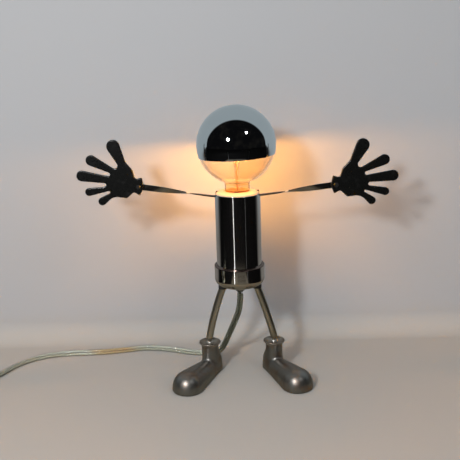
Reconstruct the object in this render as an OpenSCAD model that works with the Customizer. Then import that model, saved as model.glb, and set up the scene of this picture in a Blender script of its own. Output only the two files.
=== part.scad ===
// Desk lamp in the shape of a little robot: a silvered globe bulb for a head, a chrome tube for a
// body, strip arms with flat hands, bent rod legs and cast shoes, on a clear twin flex.
// Millimetres. The floor is z = 0, the body axis is x = y = 0, and the lamp faces -Y.

/* [Shoes] */
// Height of the cuff above the floor
cuff_z = 42; // [36:1:60]
// Outer diameter of the flared cuff
cuff_d = 27.4; // [25:0.2:34]
// Diameter of the shaft below the cuff
shaft_d = 21.2; // [18:0.2:23]
// Height of the flare under the cuff's rim
flare_h = 7; // [4:0.5:12]
// Depth of the dish in the cuff
dish_deep = 4; // [2:0.5:7]
// Diameter of the flat floor of the dish
dish_floor_d = 12; // [11:0.5:16]
// Width of the toe
toe_w = 39; // [34:1:52]
// Height of the toe above the sole
toe_h = 23; // [16:0.5:26]
// Distance from the ankle forward to the middle of the toe
toe_reach = 56; // [36:1:64]
// Width of the heel
heel_w = 22; // [16:1:26]
// Distance from the ankle back to the middle of the heel
heel_reach = 7; // [5:1:18]
// Height of the heel above the sole
heel_h = 17; // [14:0.5:24]
// Angle by which the left shoe points outwards
left_toe_out = 28; // [0:0.5:45]
// Angle by which the right shoe points outwards
right_toe_out = 26.5; // [0:0.5:45]
// Thickness of the rubber sole
sole_t = 1.2; // [0.8:0.2:3]
// Distance of the sole's edge inside the shoe's edge
sole_inset = 2; // [0.5:0.5:4]

/* [Legs] */
// Height of the cup's underside above the floor
hip_z = 118; // [100:1:150]
// Distance from the tube's bore in to each leg at the cup's underside
hip_inset = 6.5; // [5.5:0.5:7.5]
// Diameter of the leg rods
leg_d = 9; // [8.6:0.1:9.5]
// Lean of the left leg at the hip
left_hip_lean = 21.5; // [16:0.5:24]
// Lean of the left leg at the ankle
left_ankle_lean = 11; // [4:0.5:14]
// Lean of the right leg at the hip
right_hip_lean = 19.5; // [17:0.5:24]
// Lean of the right leg at the ankle
right_ankle_lean = 14.5; // [6:0.5:16]
// Diameter of the rods' turned-down upper ends
tenon_d = 8; // [5:0.2:8.4]
// Length of those ends above the cup's underside
leg_grip = 21; // [17:1:22]
// Height of the rod's round end above the cuff
rod_end_rise = 6; // [5:0.5:8]
// Diameter of the spigot under each leg
spigot_d = 5; // [3:0.5:6]
// Length of spigot inside the shoe
spigot_deep = 16; // [8:1:24]
// Diameter of the bright bead on the spigot
bead_d = 8; // [7:0.5:10.5]
// Height of the bead
bead_h = 4.4; // [3:0.1:5]
// Diameter of the black ring round the leg under the cup
hip_ring_d = 12; // [11:0.2:14]
// Height of that ring
hip_ring_h = 5; // [2:0.5:8]

/* [Base cup] */
// Thickness of the cup's wall round the tube
cup_wall = 3.15; // [2.75:0.05:7.25]
// Height of the cup
cup_h = 26.5; // [20:0.5:36]
// Radius of the cup's rounded lower edge
cup_round = 9.5; // [4:0.5:9.5]
// Radius of the cup's rounded rim
lip_round = 0.9; // [0.3:0.1:1.2]
// Thickness of the cup's floor
cup_floor = 2; // [1.5:0.1:3]
// Height of the ledge that the tube stands on
ledge_h = 8; // [6:0.5:12]
// Width of that ledge
ledge_w = 3.2; // [2:0.1:3.4]
// Height of the steel block that holds the legs
block_h = 14; // [13:0.5:20]
// Diameter of the screws that lock the legs
lock_d = 4; // [3:0.5:5]

/* [Body tube] */
// Outer diameter of the body tube
tube_d = 55.4; // [54.8:0.1:55.4]
// Wall of the body tube
tube_wall = 1.2; // [0.8:0.1:1.4]
// Length of the body tube
tube_len = 108; // [100:1:140]

/* [Arms] */
// Width of the arm strip
strip_w = 7.4; // [5:0.1:8]
// Thickness of the arm strip
strip_t = 1.2; // [0.8:0.1:1.5]
// Depth of the strip's middle below the tube's rim
arm_drop = 3.2; // [2.8:0.1:5]
// Distance from the tube's bore in to each shoulder pin
shoulder_inset = 2.5; // [2.1:0.1:2.9]
// Diameter of the shoulder pins
pin_d = 2.4; // [2:0.1:2.6]
// Height of the pins above the tube's rim
pin_rise = 2.6; // [1.5:0.1:4]
// Width of the notch that each arm swings in
notch_w = 14; // [13:0.5:16]
// Distance from the tube's wall to the bend in the strip
bend_out = 3; // [2:0.5:6]
// Distance from the body axis to the wrist rivet
arm_reach = 119; // [105:1:140]
// Rise of the left arm
left_rise = 9.2; // [0:0.1:15]
// Rise of the right arm
right_rise = 6.4; // [0:0.1:15]
// Distance from the bend to the start of the twist
twist_start = 8; // [3:1:14]
// Distance from the end of the twist to the wrist rivet
twist_end = 9; // [8:1:14]

/* [Hands] */
// Thickness of the hand plates
hand_t = 3; // [2:0.2:4]
// Size of the hand outline relative to the drawn one
hand_scale = 1; // [0.9:0.01:1.1]
// Tilt of the right hand against its arm
right_hand_tilt = -2; // [-10:0.5:10]
// Diameter of the wrist rivet's shank
rivet_d = 3; // [2:0.1:3.4]
// Diameter of the rivet's heads
rivet_head_d = 5.6; // [5:0.1:6.6]
// Height of the rivet's heads
rivet_head_h = 0.9; // [0.5:0.1:1.5]

/* [Lampholder] */
// Outer diameter of the porcelain barrel
barrel_d = 38; // [37.6:0.1:38.2]
// Length of the porcelain below its flange
barrel_len = 40; // [38:0.5:46]
// Thickness of the flange at its edge
flange_t = 2.6; // [2:0.1:4]
// Rise of the flange from its edge to the mouth
flange_rise = 3; // [1:0.1:5]
// Diameter of the mouth that the bulb's neck goes into
mouth_d = 32; // [31.6:0.1:33]
// Depth of the wide mouth below the flange's underside
mouth_deep = 3; // [2:0.5:5]
// Inner diameter of the screw shell
shell_d = 26.8; // [26.8:0.1:27.4]
// Wall of the screw shell
shell_wall = 0.4; // [0.3:0.1:0.6]
// Length of the screw shell
shell_len = 20; // [16:0.5:21]
// Thickness of the shoulder ring
ring_t = 4.5; // [3:0.5:6]
// Height of the metal entry cap under the porcelain
entry_h = 7; // [5:0.5:10]

/* [Stem and nuts] */
// Outer diameter of the threaded stem
stem_d = 12; // [11.6:0.1:13]
// Bore of the threaded stem
stem_bore = 9.8; // [9.6:0.1:10.4]
// Width across the flats of the nuts
nut_af = 17; // [16:0.5:20]
// Height of the nuts
nut_h = 5; // [3:0.5:7]
// Lower diameter of the bell nut under the cup
bell_low_d = 14.4; // [13.6:0.2:17]
// Upper diameter of the bell nut
bell_top_d = 19; // [17:0.5:22]
// Height of the bell nut
bell_h = 6.5; // [6:0.5:12]
// Height of the lip inside the bell nut that the stem ends on
bell_lip = 1; // [0.8:0.1:2]
// Height of the visible ring of the flex bushing
bush_ring_h = 1.5; // [1:0.5:4]
// Diameter of that ring
bush_ring_d = 11; // [10.6:0.1:13]
// Length of the tapered part of the bushing inside the stem
bush_len = 20; // [14:1:30]

/* [Bulb] */
// Diameter of the globe
bulb_d = 95; // [80:1:95]
// Thickness of the glass
glass_t = 1; // [0.8:0.1:1.4]
// Thickness of the silver coat
coat_t = 0.15; // [0.1:0.05:0.3]
// Depth of the silver's edge below the globe's middle
mirror_drop = 12.2; // [0:0.2:20]
// Diameter of the glass neck
neck_d = 30.4; // [28.4:0.1:30.8]
// Radius of the fillet between globe and neck
neck_fillet = 4; // [2:0.5:8]
// Height of the neck's lower end above the tube's rim
neck_rise = 4; // [3.5:0.1:8]
// Length of the neck
neck_len = 6.5; // [4:0.5:12]
// Diameter of the screw cap over its thread
cap_d = 26.2; // [26:0.1:26.3]
// Length of the screw cap
cap_len = 19; // [16:0.5:20]

/* [Flex] */
// Width of the flat twin flex
flex_w = 7.6; // [6:0.1:8]
// Thickness of the flat twin flex
flex_t = 3.8; // [3:0.1:4]
// Mean radius of the stored coil
coil_r = 41.6; // [40:0.1:46]
// Thickness of the tie round the coil
tie_t = 0.8; // [0.5:0.1:0.9]
// Width of the tie
tie_w = 6; // [4:0.5:10]

/* [Switch on the flex] */
// Length of the switch
switch_l = 50; // [46:1:60]
// Width of the switch
switch_w = 22; // [20:1:26]
// Height of the switch
switch_h = 16; // [15:0.5:19]
// Wall of the switch housing
switch_wall = 1.6; // [1.2:0.1:2]
// Length of the rocker
rocker_l = 16.4; // [14:0.2:17]
// Width of the rocker
rocker_w = 9.6; // [8:0.2:10]
// Angle by which the rocker stands off level
rocker_tilt = 9; // [5:0.5:10]
// Diameter of the rocker's axle
axle_d = 2.8; // [2:0.1:3.2]

/* [Plug] */
// Length of the plug's body
plug_l = 32; // [28:1:40]
// Width of the plug's body
plug_w = 24; // [22:1:30]
// Thickness of the plug's body
plug_t = 14; // [12:0.5:18]
// Length of the tapered neck on the plug
plug_neck = 12; // [8:1:20]
// Distance between the blades
blade_gap = 12.7; // [12.7]
// Length of the blades
blade_l = 17.5; // [15:0.5:18]
// Width of the blades
blade_w = 6.3; // [6:0.1:6.4]
// Thickness of the blades
blade_t = 1.5; // [1.4:0.1:1.6]

/* [Hidden] */

// Clearances: a fixed part in its seat, two faces that slide, a pin in its bore
fit = 0.3;
slip = 0.15;
run = 0.05;
// Overlap of a cut beyond the face that it opens
cut = 1;
$fn = 64;

// Distance from the middle of the lamp's floor area back to the body axis
body_y = 11;

// Radii and levels worked out from the sizes above
tube_r = tube_d / 2;
bore_r = tube_r - tube_wall;
cup_r = tube_r + run + cup_wall;
hip_x = bore_r - hip_inset;
shoulder_x = bore_r - shoulder_inset;
ledge_z = hip_z + ledge_h;
rim_z = ledge_z + tube_len;
cavity_r = tube_r - ledge_w;
block_z = ledge_z;
block_r = bore_r - fit;
lock_edge = 3;
lock_z = block_z + lock_d / 2 + lock_edge;
arm_z = rim_z - arm_drop;
eye_t = strip_t + 0.2;
eye_d = strip_w + 0.4;
bend_x = tube_r + bend_out;
ankle_z = cuff_z + rod_end_rise;
swell = 0.1;
dish_z = cuff_z - dish_deep;
stem_low_z = hip_z - bell_h + bell_lip;
flange_z = arm_z + eye_t / 2 + slip;
flange_r = bore_r - fit;
mouth_z = flange_z + flange_t + flange_rise;
shell_top_z = flange_z - mouth_deep;
shell_low_z = shell_top_z - shell_len;
shell_r = shell_d / 2;
floor_t = 6;
well = 4;
floor_z = shell_low_z - well;
barrel_low_z = flange_z - barrel_len;
barrel_wall = 2.5;
entry_t = 2;
terminal_x = 8;
terminal_d = 3;
terminal_head = 4;
stem_top_z = barrel_low_z - entry_h + entry_t;

// The bulb: its globe's middle stands on the neck by way of the fillet
coat_r = bulb_d / 2;
glass_r = coat_r - coat_t - run;
neck_low_z = rim_z + neck_rise;
fillet_z = neck_low_z + neck_len;
globe_z = fillet_z + sqrt(pow(glass_r + neck_fillet, 2) - pow(neck_d / 2 + neck_fillet, 2));
cap_top_z = shell_top_z + 3;
cap_low_z = cap_top_z - cap_len;
insulator_h = 2.6;
contact_h = 1.8;
contact_z = cap_low_z - insulator_h - contact_h;
cap_wall = 0.35;
thread_deep = 0.6;
thread_pitch = 3.6;
tuck_r = cap_d / 2 - cap_wall - run;
tuck_z = cap_top_z - 4;
tuck_gap = 0.6;
rod_r = 2.6;
button_r = 3.4;
button_drop = 24;
button_z = globe_z - button_drop;
filament_x = 13;
filament_drop = 8;
filament_z = globe_z - filament_drop;

// Outline of a hand as circles that a belt runs round: middle u, v and radius, which is below zero
// where the belt bends inwards. The wrist rivet is at u = v = 0, the fingers point along u.
HAND = [
    [-2.6, -9, 1], [3.6, -10.5, -3], [13.4, -12.6, 3], [22, -29.5, -14], [41.2, -23.3, 4.9],
    [34.4, -11, -1.4], [58, -13.8, 4.9], [40.6, -2.8, -2.1], [68.5, 4.6, 6.6], [37.4, 10.6, -2.2],
    [59.3, 24.7, 6.4], [31, 22.2, -3.6], [34.8, 44.8, 8], [10.8, 33.4, -9], [12.2, 17.2, 4],
    [3, 12.8, -3], [-2.6, 10.8, 0.9], [8, 0.4, 14]
];

// Route of the flex from the bushing to the switch: x, y, z and the roll of its flat side in degrees,
// 0 and 180 where the flat side stands upright and 90 and 270 where it lies down
LEAD = [
    [0, 0, 110, 108], [-0.2, 0.6, 98, 116], [-2.6, 6, 80, 128], [-8.6, 15.5, 61, 136],
    [-16, 27, 40, 142], [-22.8, 37, 21.5, 156], [-29.8, 44.5, 9.4, 172], [-40, 49, 4.6, 180],
    [-54, 50.5, 4, 180], [-70, 54, 4, 180], [-90, 62, 4, 180], [-113, 69.5, 4, 180],
    [-136, 71.5, 4, 180], [-158, 67, 4, 180], [-182, 62.5, 4, 185], [-207, 61, 3.9, 200],
    [-232, 61, 3.8, 215], [-255, 58, 3.5, 230], [-275, 51, 3, 245], [-291, 39, 2.6, 260],
    [-303, 23, 2.7, 270], [-312, 4, 3.5, 270], [-319.5, -10, 5, 270], [-324.8, -19.5, 6.2, 270],
    [-327.4, -25.8, 6.5, 270]
];
// Route from the switch to the coil
TAIL = [
    [-341.6, -65.2, 6.5, 90], [-344.4, -76.2, 6.2, 75], [-345.4, -88, 5.4, 45], [-346.2, -99.6, 4.9, 15],
    [-348.6, -110.6, 4.8, 0]
];
// Route from the coil to the plug
LAST = [
    [-438, -96, 12.8, 0], [-438.6, -82, 12.1, 12], [-437.6, -68.5, 9.7, 55], [-436, -55, 7, 90]
];
coil_at = [-392, -95];
coil_w = 13;
coil_h = 16;
tie_angle = 100;
switch_z = LEAD[len(LEAD) - 1][2];
switch_turn = atan2(TAIL[0][1] - LEAD[len(LEAD) - 1][1], TAIL[0][0] - LEAD[len(LEAD) - 1][0]);
switch_mid = [
    (LEAD[len(LEAD) - 1][0] + TAIL[0][0]) / 2,
    (LEAD[len(LEAD) - 1][1] + TAIL[0][1]) / 2
];
plug_at = LAST[len(LAST) - 1];

// Colours
chrome = [0.75, 0.76, 0.78];
dark = [0.06, 0.06, 0.06];
pewter = [0.33, 0.33, 0.32];
olive = [0.42, 0.4, 0.36];
brass = [0.8, 0.62, 0.3];
porcelain = [0.95, 0.92, 0.84];
clear = [0.85, 0.9, 0.9, 0.5];

// Normal of the straight stretch of belt from circle a to circle b
function belt_normal(a, b) =
    atan2(b[1] - a[1], b[0] - a[0]) - acos((a[2] - b[2]) / norm([b[0] - a[0], b[1] - a[1]]));

// Sweep of the arc on one circle, forward on a bulge and backward in a hollow
function arc_sweep(turn, bulge) =
    bulge ? turn - 360 * floor(turn / 360) : turn - 360 * ceil(turn / 360);

// Points of a belt that runs anticlockwise round the circles, with a point every 15 degrees
function belt(circles) = [
    for (i = [0 : len(circles) - 1])
    let (
        c = circles[i],
        from = belt_normal(circles[(i + len(circles) - 1) % len(circles)], c),
        sweep = arc_sweep(belt_normal(c, circles[(i + 1) % len(circles)]) - from, c[2] > 0),
        steps = max(2, ceil(abs(sweep) / 15))
    )
    for (k = [0 : steps])
    let (angle = from + sweep * k / steps)
    [c[0] + c[2] * cos(angle), c[1] + c[2] * sin(angle)]
];

// A rounded oblong as a belt
function oblong(l, w, r) = belt([
    [l / 2 - r, r - w / 2, r], [l / 2 - r, w / 2 - r, r],
    [r - l / 2, w / 2 - r, r], [r - l / 2, r - w / 2, r]
]);

// Point between b and c on a smooth curve through a, b, c and d
function curve_at(a, b, c, d, t) =
    0.5 * (2 * b + (c - a) * t + (2 * a - 5 * b + 4 * c - d) * t * t + (3 * b - a - 3 * c + d) * t * t * t);

// A route with extra points between its own
function smooth_route(route, steps) = let (n = len(route) - 1) [
    for (i = [0 : n - 1], k = [0 : steps - 1])
        curve_at(route[max(i - 1, 0)], route[i], route[i + 1], route[min(i + 2, n)], k / steps),
    route[n]
];

function unit(v) = v / norm(v);

function place(p) = [p[0], p[1], p[2]];

// Direction of a route at point i
function heading(route, i) = unit(
    place(route[min(i + 1, len(route) - 1)]) - place(route[max(i - 1, 0)])
);

// Ring of points of the flex's oval section at point i of a route: its wide side turns from upright
// at a roll of 0 to level at a roll of 90
function flex_ring(route, i, sides) =
    let (
        ahead = heading(route, i),
        side = unit(cross(ahead, [0, 0, 1])),
        up = cross(side, ahead),
        roll = route[i][3],
        wide = cos(roll) * up + sin(roll) * side,
        thin = cross(ahead, wide)
    )
    [for (k = [0 : sides - 1]) place(route[i])
        + flex_w / 2 * cos(360 * k / sides) * wide + flex_t / 2 * sin(360 * k / sides) * thin];

// Closed skin over rings of points. Each four-sided patch is split along one diagonal, or the other
// if it is slanted
module skin(rings, slanted = false) {
    n = len(rings[0]);
    last = len(rings) - 1;
    polyhedron(
        points = [for (ring = rings) each ring],
        faces = [
            [for (k = [0 : n - 1]) k],
            for (i = [0 : last - 1], k = [0 : n - 1])
            let (a = i * n + k, b = i * n + (k + 1) % n, c = b + n, d = a + n)
            each slanted ? [[a, d, b], [d, c, b]] : [[a, d, c], [a, c, b]],
            [for (k = [n - 1 : -1 : 0]) last * n + k]
        ],
        convexity = 10
    );
}

module flex_tube(route, steps) {
    smooth = smooth_route(route, steps);
    color(clear) skin([for (i = [0 : len(smooth) - 1]) flex_ring(smooth, i, 8)]);
}

// ---- body ----

module body_tube() {
    color(chrome) difference() {
        translate([0, 0, ledge_z]) cylinder(r = tube_r, h = tube_len, $fn = 96);
        translate([0, 0, ledge_z - cut]) cylinder(r = bore_r, h = tube_len + 2 * cut, $fn = 96);
        for (side = [-1, 1])
            translate([side * shoulder_x, -notch_w / 2, ring_top_z])
                mirror([side < 0 ? 1 : 0, 0, 0]) cube([tube_r, notch_w, rim_z - ring_top_z + cut]);
    }
}

module cup_outline() {
    translate([0, cup_round]) square([cup_r, cup_h - cup_round - lip_round]);
    square([cup_r - cup_round, cup_h]);
    translate([cup_r - cup_round, cup_round]) circle(cup_round);
    translate([cup_r - cup_round, cup_round]) square([cup_round - lip_round, cup_h - cup_round]);
    translate([cup_r - lip_round, cup_h - lip_round]) circle(lip_round, $fn = 24);
}

module base_cup() {
    color(chrome) difference() {
        translate([0, 0, hip_z]) rotate_extrude($fn = 96) difference() {
            cup_outline();
            translate([0, ledge_h]) square([tube_r + run, cup_h]);
            translate([0, cup_floor]) square([cavity_r, ledge_h]);
            translate([0, -cut]) square([stem_d / 2 + run, cup_floor + 2 * cut]);
        }
        leg_bores(tenon_d / 2 + fit);
    }
}

// The line of each leg through the cup's floor and the hip block
module leg_bores(r) {
    for (leg = [[-1, left_hip_lean], [1, right_hip_lean]])
        translate([leg[0] * hip_x, 0, hip_z]) rotate([0, -leg[0] * leg[1], 0])
            translate([0, 0, -hip_ring_h - 4]) cylinder(r = r, h = leg_grip + hip_ring_h + 4 + fit);
}

module hip_block() {
    color(olive) difference() {
        translate([0, 0, block_z]) cylinder(r = block_r, h = block_h, $fn = 96);
        translate([0, 0, block_z - cut]) cylinder(d = stem_d + 2 * run, h = block_h + 2 * cut);
        leg_bores(tenon_d / 2 + run);
        lock_screws(run, tenon_d / 2, cut);
    }
}

// Screws that press on the rods from the side of the block: with a gap round them, their inner end
// deeper and their outer end further out, they are the threaded holes
module lock_screws(gap, deeper, further) {
    for (leg = [[-1, left_hip_lean], [1, right_hip_lean]]) {
        rod_x = hip_x - (lock_z - hip_z) * tan(leg[1]);
        tip_x = rod_x + (tenon_d / 2 + run) / cos(leg[1]) + lock_d / 2 * tan(leg[1]) - deeper;
        translate([leg[0] * tip_x, 0, lock_z]) rotate([0, leg[0] * 90, 0])
            cylinder(r = lock_d / 2 + gap, h = block_r - run + further - tip_x);
    }
}

module leg_lock_screws() {
    color(dark) lock_screws(0, 0, 0);
}

module hip_rings() {
    color(dark) difference() {
        for (side = [-1, 1])
            translate([side * (hip_x + hip_ring_h / 2 * tan(left_hip_lean)), 0, hip_z - hip_ring_h])
                cylinder(d = hip_ring_d, h = hip_ring_h);
        leg_bores(leg_d / 2 + run);
    }
}

// ---- legs and shoes ----

// Radius of the arc of a leg that leans less and less on its way down
function leg_arc(hip_lean, ankle_lean) = (hip_z - ankle_z) / (sin(hip_lean) - sin(ankle_lean));

function ankle_x(hip_lean, ankle_lean) =
    hip_x + leg_arc(hip_lean, ankle_lean) * (cos(ankle_lean) - cos(hip_lean));

left_ankle_x = -ankle_x(left_hip_lean, left_ankle_lean);
right_ankle_x = ankle_x(right_hip_lean, right_ankle_lean);

// A leg on the +X side: its tenon in the block, bowed below it, with a round end over its spigot
module leg(hip_lean, ankle_lean) {
    arc = leg_arc(hip_lean, ankle_lean);
    color(olive) union() {
        translate([hip_x, 0, hip_z]) rotate([0, -hip_lean, 0]) cylinder(d = tenon_d, h = leg_grip);
        translate([hip_x - arc * cos(hip_lean), 0, hip_z - arc * sin(hip_lean)])
            rotate([90, 0, 0]) rotate([0, 0, ankle_lean])
                rotate_extrude(angle = hip_lean - ankle_lean, $fn = 96)
                    translate([arc, 0]) circle(d = leg_d);
        translate([ankle_x(hip_lean, ankle_lean), 0, ankle_z]) {
            sphere(d = leg_d + 2 * swell);
            translate([0, 0, dish_z - ankle_z - spigot_deep])
                cylinder(d = spigot_d, h = spigot_deep + ankle_z - dish_z);
        }
    }
}

module left_leg() {
    rotate([0, 0, 180]) leg(left_hip_lean, left_ankle_lean);
}

module right_leg() {
    leg(right_hip_lean, right_ankle_lean);
}

module ankle_bead(x) {
    bore = spigot_d / 2 + run;
    color(chrome) translate([x, 0, dish_z + slip]) difference() {
        rotate_extrude() polygon([
            [bore, 0],
            for (a = [-75 : 15 : 75])
                [bore + (bead_d / 2 - bore) * cos(a), bead_h / 2 * (1 + sin(a) / sin(75))],
            [bore, bead_h]
        ]);
        translate([0, 0, ankle_z - dish_z - slip]) sphere(d = leg_d + 2 * swell + 2 * slip);
    }
}

module left_ankle_bead() {
    ankle_bead(left_ankle_x);
}

module right_ankle_bead() {
    ankle_bead(right_ankle_x);
}

// A round cap of radius r and height h with a full shoulder
module dome(r, h) {
    fullness = 0.88;
    rotate_extrude($fn = 36) polygon([
        [0, 0], for (a = [0 : 10 : 90]) [r * pow(cos(a), fullness), h * pow(sin(a), fullness)]
    ]);
}

// Shaft, flare and rim of a shoe, as half of its section
module cuff_outline() {
    rim = 1.2;
    polygon([
        [0, sole_t], [shaft_d / 2, sole_t],
        for (a = [0 : 10 : 90])
            [shaft_d / 2 + (cuff_d - shaft_d) / 2 * (1 - cos(a)),
             cuff_z - rim - (flare_h - rim) * (1 - sin(a))],
        [cuff_d / 2, cuff_z - rim / 3], [cuff_d / 2 - rim / 3, cuff_z], [cuff_d / 2 - rim, cuff_z],
        for (a = [0 : 15 : 90])
            [dish_floor_d / 2 + (cuff_d / 2 - rim - dish_floor_d / 2) * (1 - sin(a)),
             dish_z + dish_deep * (1 - sin(a)) * (1 - sin(a))],
        [0, dish_z]
    ]);
}

// A shoe at the ankle axis, toe towards -Y
module shoe() {
    color(pewter) difference() {
        union() {
            rotate_extrude() cuff_outline();
            hull() {
                translate([0, -toe_reach, sole_t]) dome(toe_w / 2, toe_h);
                translate([0, heel_reach, sole_t]) dome(heel_w / 2, heel_h);
            }
            hull() {
                translate([0, heel_reach, sole_t]) dome(heel_w / 2, heel_h);
                translate([0, 0, cuff_z - flare_h - 3]) cylinder(d = shaft_d - 0.4, h = 2, $fn = 36);
            }
        }
        translate([0, 0, dish_z - spigot_deep - fit])
            cylinder(d = spigot_d + 2 * run, h = spigot_deep + dish_deep + cut);
    }
}

module sole() {
    color(dark) linear_extrude(sole_t) polygon(belt([
        [0, heel_reach, heel_w / 2 - sole_inset], [0, -toe_reach, toe_w / 2 - sole_inset]
    ]));
}

module left_shoe() {
    translate([left_ankle_x, 0, 0]) rotate([0, 0, -left_toe_out]) shoe();
}

module right_shoe() {
    translate([right_ankle_x, 0, 0]) rotate([0, 0, right_toe_out]) shoe();
}

module left_sole() {
    translate([left_ankle_x, 0, 0]) rotate([0, 0, -left_toe_out]) sole();
}

module right_sole() {
    translate([right_ankle_x, 0, 0]) rotate([0, 0, right_toe_out]) sole();
}

// ---- shoulders, arms and hands ----

ring_top_z = arm_z - eye_t / 2 - slip;

module shoulder_ring() {
    color(chrome) difference() {
        translate([0, 0, ring_top_z - ring_t]) cylinder(r = bore_r - run, h = ring_t, $fn = 96);
        translate([0, 0, ring_top_z - ring_t - cut]) cylinder(d = barrel_d + 2 * fit, h = ring_t + 2 * cut);
        shoulder_holes();
    }
}

module shoulder_holes() {
    for (side = [-1, 1])
        translate([side * shoulder_x, 0, ring_top_z - ring_t - cut])
            cylinder(d = pin_d + 2 * run, h = mouth_z - ring_top_z + ring_t + 2 * cut, $fn = 32);
}

module shoulder_pins() {
    color(dark) for (side = [-1, 1])
        translate([side * shoulder_x, 0, ring_top_z - ring_t]) {
            cylinder(d = pin_d, h = rim_z + pin_rise - 0.4 - ring_top_z + ring_t, $fn = 32);
            translate([0, 0, rim_z + pin_rise - 0.4 - ring_top_z + ring_t])
                cylinder(d1 = pin_d, d2 = pin_d - 0.8, h = 0.4, $fn = 32);
        }
}

// Section of the arm strip at a distance s from its bend, turned by an angle about the strip's own
// line. It lies level before the bend, is mitred at the bend and climbs after it.
function strip_ring(rise, s, angle) =
    let (
        tilt = s < 0 ? 0 : s > 0 ? rise : rise / 2,
        stretch = s == 0 ? 1 / cos(rise / 2) : 1,
        middle = [bend_x + (s < 0 ? s : s * cos(rise)), 0, arm_z + (s < 0 ? 0 : s * sin(rise))]
    )
    [for (corner = [[1, 1], [-1, 1], [-1, -1], [1, -1]])
        let (
            across = corner[0] * strip_w / 2,
            through = corner[1] * strip_t / 2,
            up = (through * cos(angle) - across * sin(angle)) * stretch
        )
        middle + [-up * sin(tilt), across * cos(angle) + through * sin(angle), up * cos(tilt)]];

function ease(t) = t * t * (3 - 2 * t);

// An arm on the +X side: an eye on the shoulder pin, a bend, a quarter turn one way or the other and
// an upright eye at the wrist
module arm(rise, turn) {
    length = (arm_reach - bend_x) / cos(rise);
    twist_len = length - twist_start - twist_end;
    steps = 48;
    color(olive) difference() {
        union() {
            translate([shoulder_x, 0, arm_z - eye_t / 2]) cylinder(d = eye_d, h = eye_t);
            skin([
                strip_ring(rise, shoulder_x - bend_x, 0),
                strip_ring(rise, 0, 0),
                for (k = [0 : steps])
                    strip_ring(rise, twist_start + twist_len * k / steps, turn * ease(k / steps)),
                strip_ring(rise, length, turn)
            ], turn < 0);
            at_wrist(rise, 0) translate([0, eye_t / 2, 0]) rotate([90, 0, 0])
                cylinder(d = eye_d, h = eye_t);
        }
        translate([shoulder_x, 0, arm_z - eye_t]) cylinder(d = pin_d + 2 * run, h = 2 * eye_t, $fn = 32);
        at_wrist(rise, 0) translate([0, eye_t, 0]) rotate([90, 0, 0])
            cylinder(d = rivet_d + 2 * run, h = 2 * eye_t, $fn = 32);
    }
}

// Places its children at the wrist rivet, with X along the arm
module at_wrist(rise, tilt) {
    translate([arm_reach, 0, arm_z + (arm_reach - bend_x) * tan(rise)])
        rotate([0, -rise - tilt, 0]) children();
}

hand_y = -eye_t / 2 - slip;

module hand() {
    color(dark) translate([0, hand_y, 0]) rotate([90, 0, 0]) difference() {
        linear_extrude(hand_t) scale(hand_scale) polygon(belt(HAND));
        translate([0, 0, -cut]) cylinder(d = rivet_d + 2 * run, h = hand_t + 2 * cut, $fn = 32);
    }
}

module wrist_rivet() {
    back_y = eye_t / 2;
    front_y = hand_y - hand_t - slip;
    color(dark) rotate([90, 0, 0]) {
        translate([0, 0, -back_y - cut / 2]) cylinder(d = rivet_d, h = back_y - front_y + cut, $fn = 32);
        translate([0, 0, -back_y - rivet_head_h])
            cylinder(d1 = rivet_head_d - 1.6, d2 = rivet_head_d, h = rivet_head_h, $fn = 32);
        translate([0, 0, -front_y])
            cylinder(d1 = rivet_head_d, d2 = rivet_head_d - 1.6, h = rivet_head_h, $fn = 32);
    }
}

module left_arm() {
    rotate([0, 0, 180]) arm(left_rise, -90);
}

module right_arm() {
    arm(right_rise, 90);
}

module left_wrist_rivet() {
    mirror([1, 0, 0]) at_wrist(left_rise, 0) wrist_rivet();
}

module right_wrist_rivet() {
    at_wrist(right_rise, 0) wrist_rivet();
}

module left_hand() {
    mirror([1, 0, 0]) at_wrist(left_rise, 0) hand();
}

module right_hand() {
    at_wrist(right_rise, right_hand_tilt) hand();
}

// ---- lampholder ----

module lampholder_body() {
    color(porcelain) difference() {
        rotate_extrude($fn = 96) difference() {
            union() {
                translate([0, barrel_low_z]) square([barrel_d / 2, barrel_len + flange_t]);
                translate([0, flange_z]) square([flange_r, flange_t]);
                polygon([
                    [0, flange_z + flange_t],
                    for (a = [0 : 10 : 90]) [
                        mouth_d / 2 + 1 + (flange_r - mouth_d / 2 - 1) * cos(a),
                        flange_z + flange_t + flange_rise * sin(a)
                    ],
                    [0, mouth_z]
                ]);
            }
            translate([0, shell_top_z]) square([mouth_d / 2, mouth_z]);
            translate([0, shell_low_z - well])
                square([shell_r + thread_deep + shell_wall + run, shell_len + well + cut]);
            translate([0, barrel_low_z - cut])
                square([barrel_d / 2 - barrel_wall, floor_z - floor_t - barrel_low_z + cut]);
        }
        shoulder_holes();
        for (side = [-1, 1])
            translate([side * terminal_x, 0, floor_z - floor_t - cut])
                cylinder(d = terminal_d + 2 * run, h = floor_t + 2 * cut, $fn = 32);
    }
}

// A rolled thread as a wavy line from height 0 to h, between radius r and r - deep
function thread_line(r, deep, h) = [
    for (k = [0 : floor(h / thread_pitch * 8)])
    let (y = k * thread_pitch / 8)
    [r - deep * (0.5 - 0.5 * cos(360 * y / thread_pitch)), y]
];

// The rolled wall of a screw shell, with a plain edge at both ends
function thread_wall(r, deep, wall, h) = let (line = thread_line(r, deep, h)) concat(
    [[r, 0]], line, [[r, h], [r - wall, h]],
    [for (k = [len(line) - 1 : -1 : 0]) [line[k][0] - wall, line[k][1]]]
);

module screw_shell() {
    color(brass) translate([0, 0, shell_low_z]) rotate_extrude()
        polygon(thread_wall(shell_r + thread_deep + shell_wall, thread_deep, shell_wall, shell_len));
}

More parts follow.
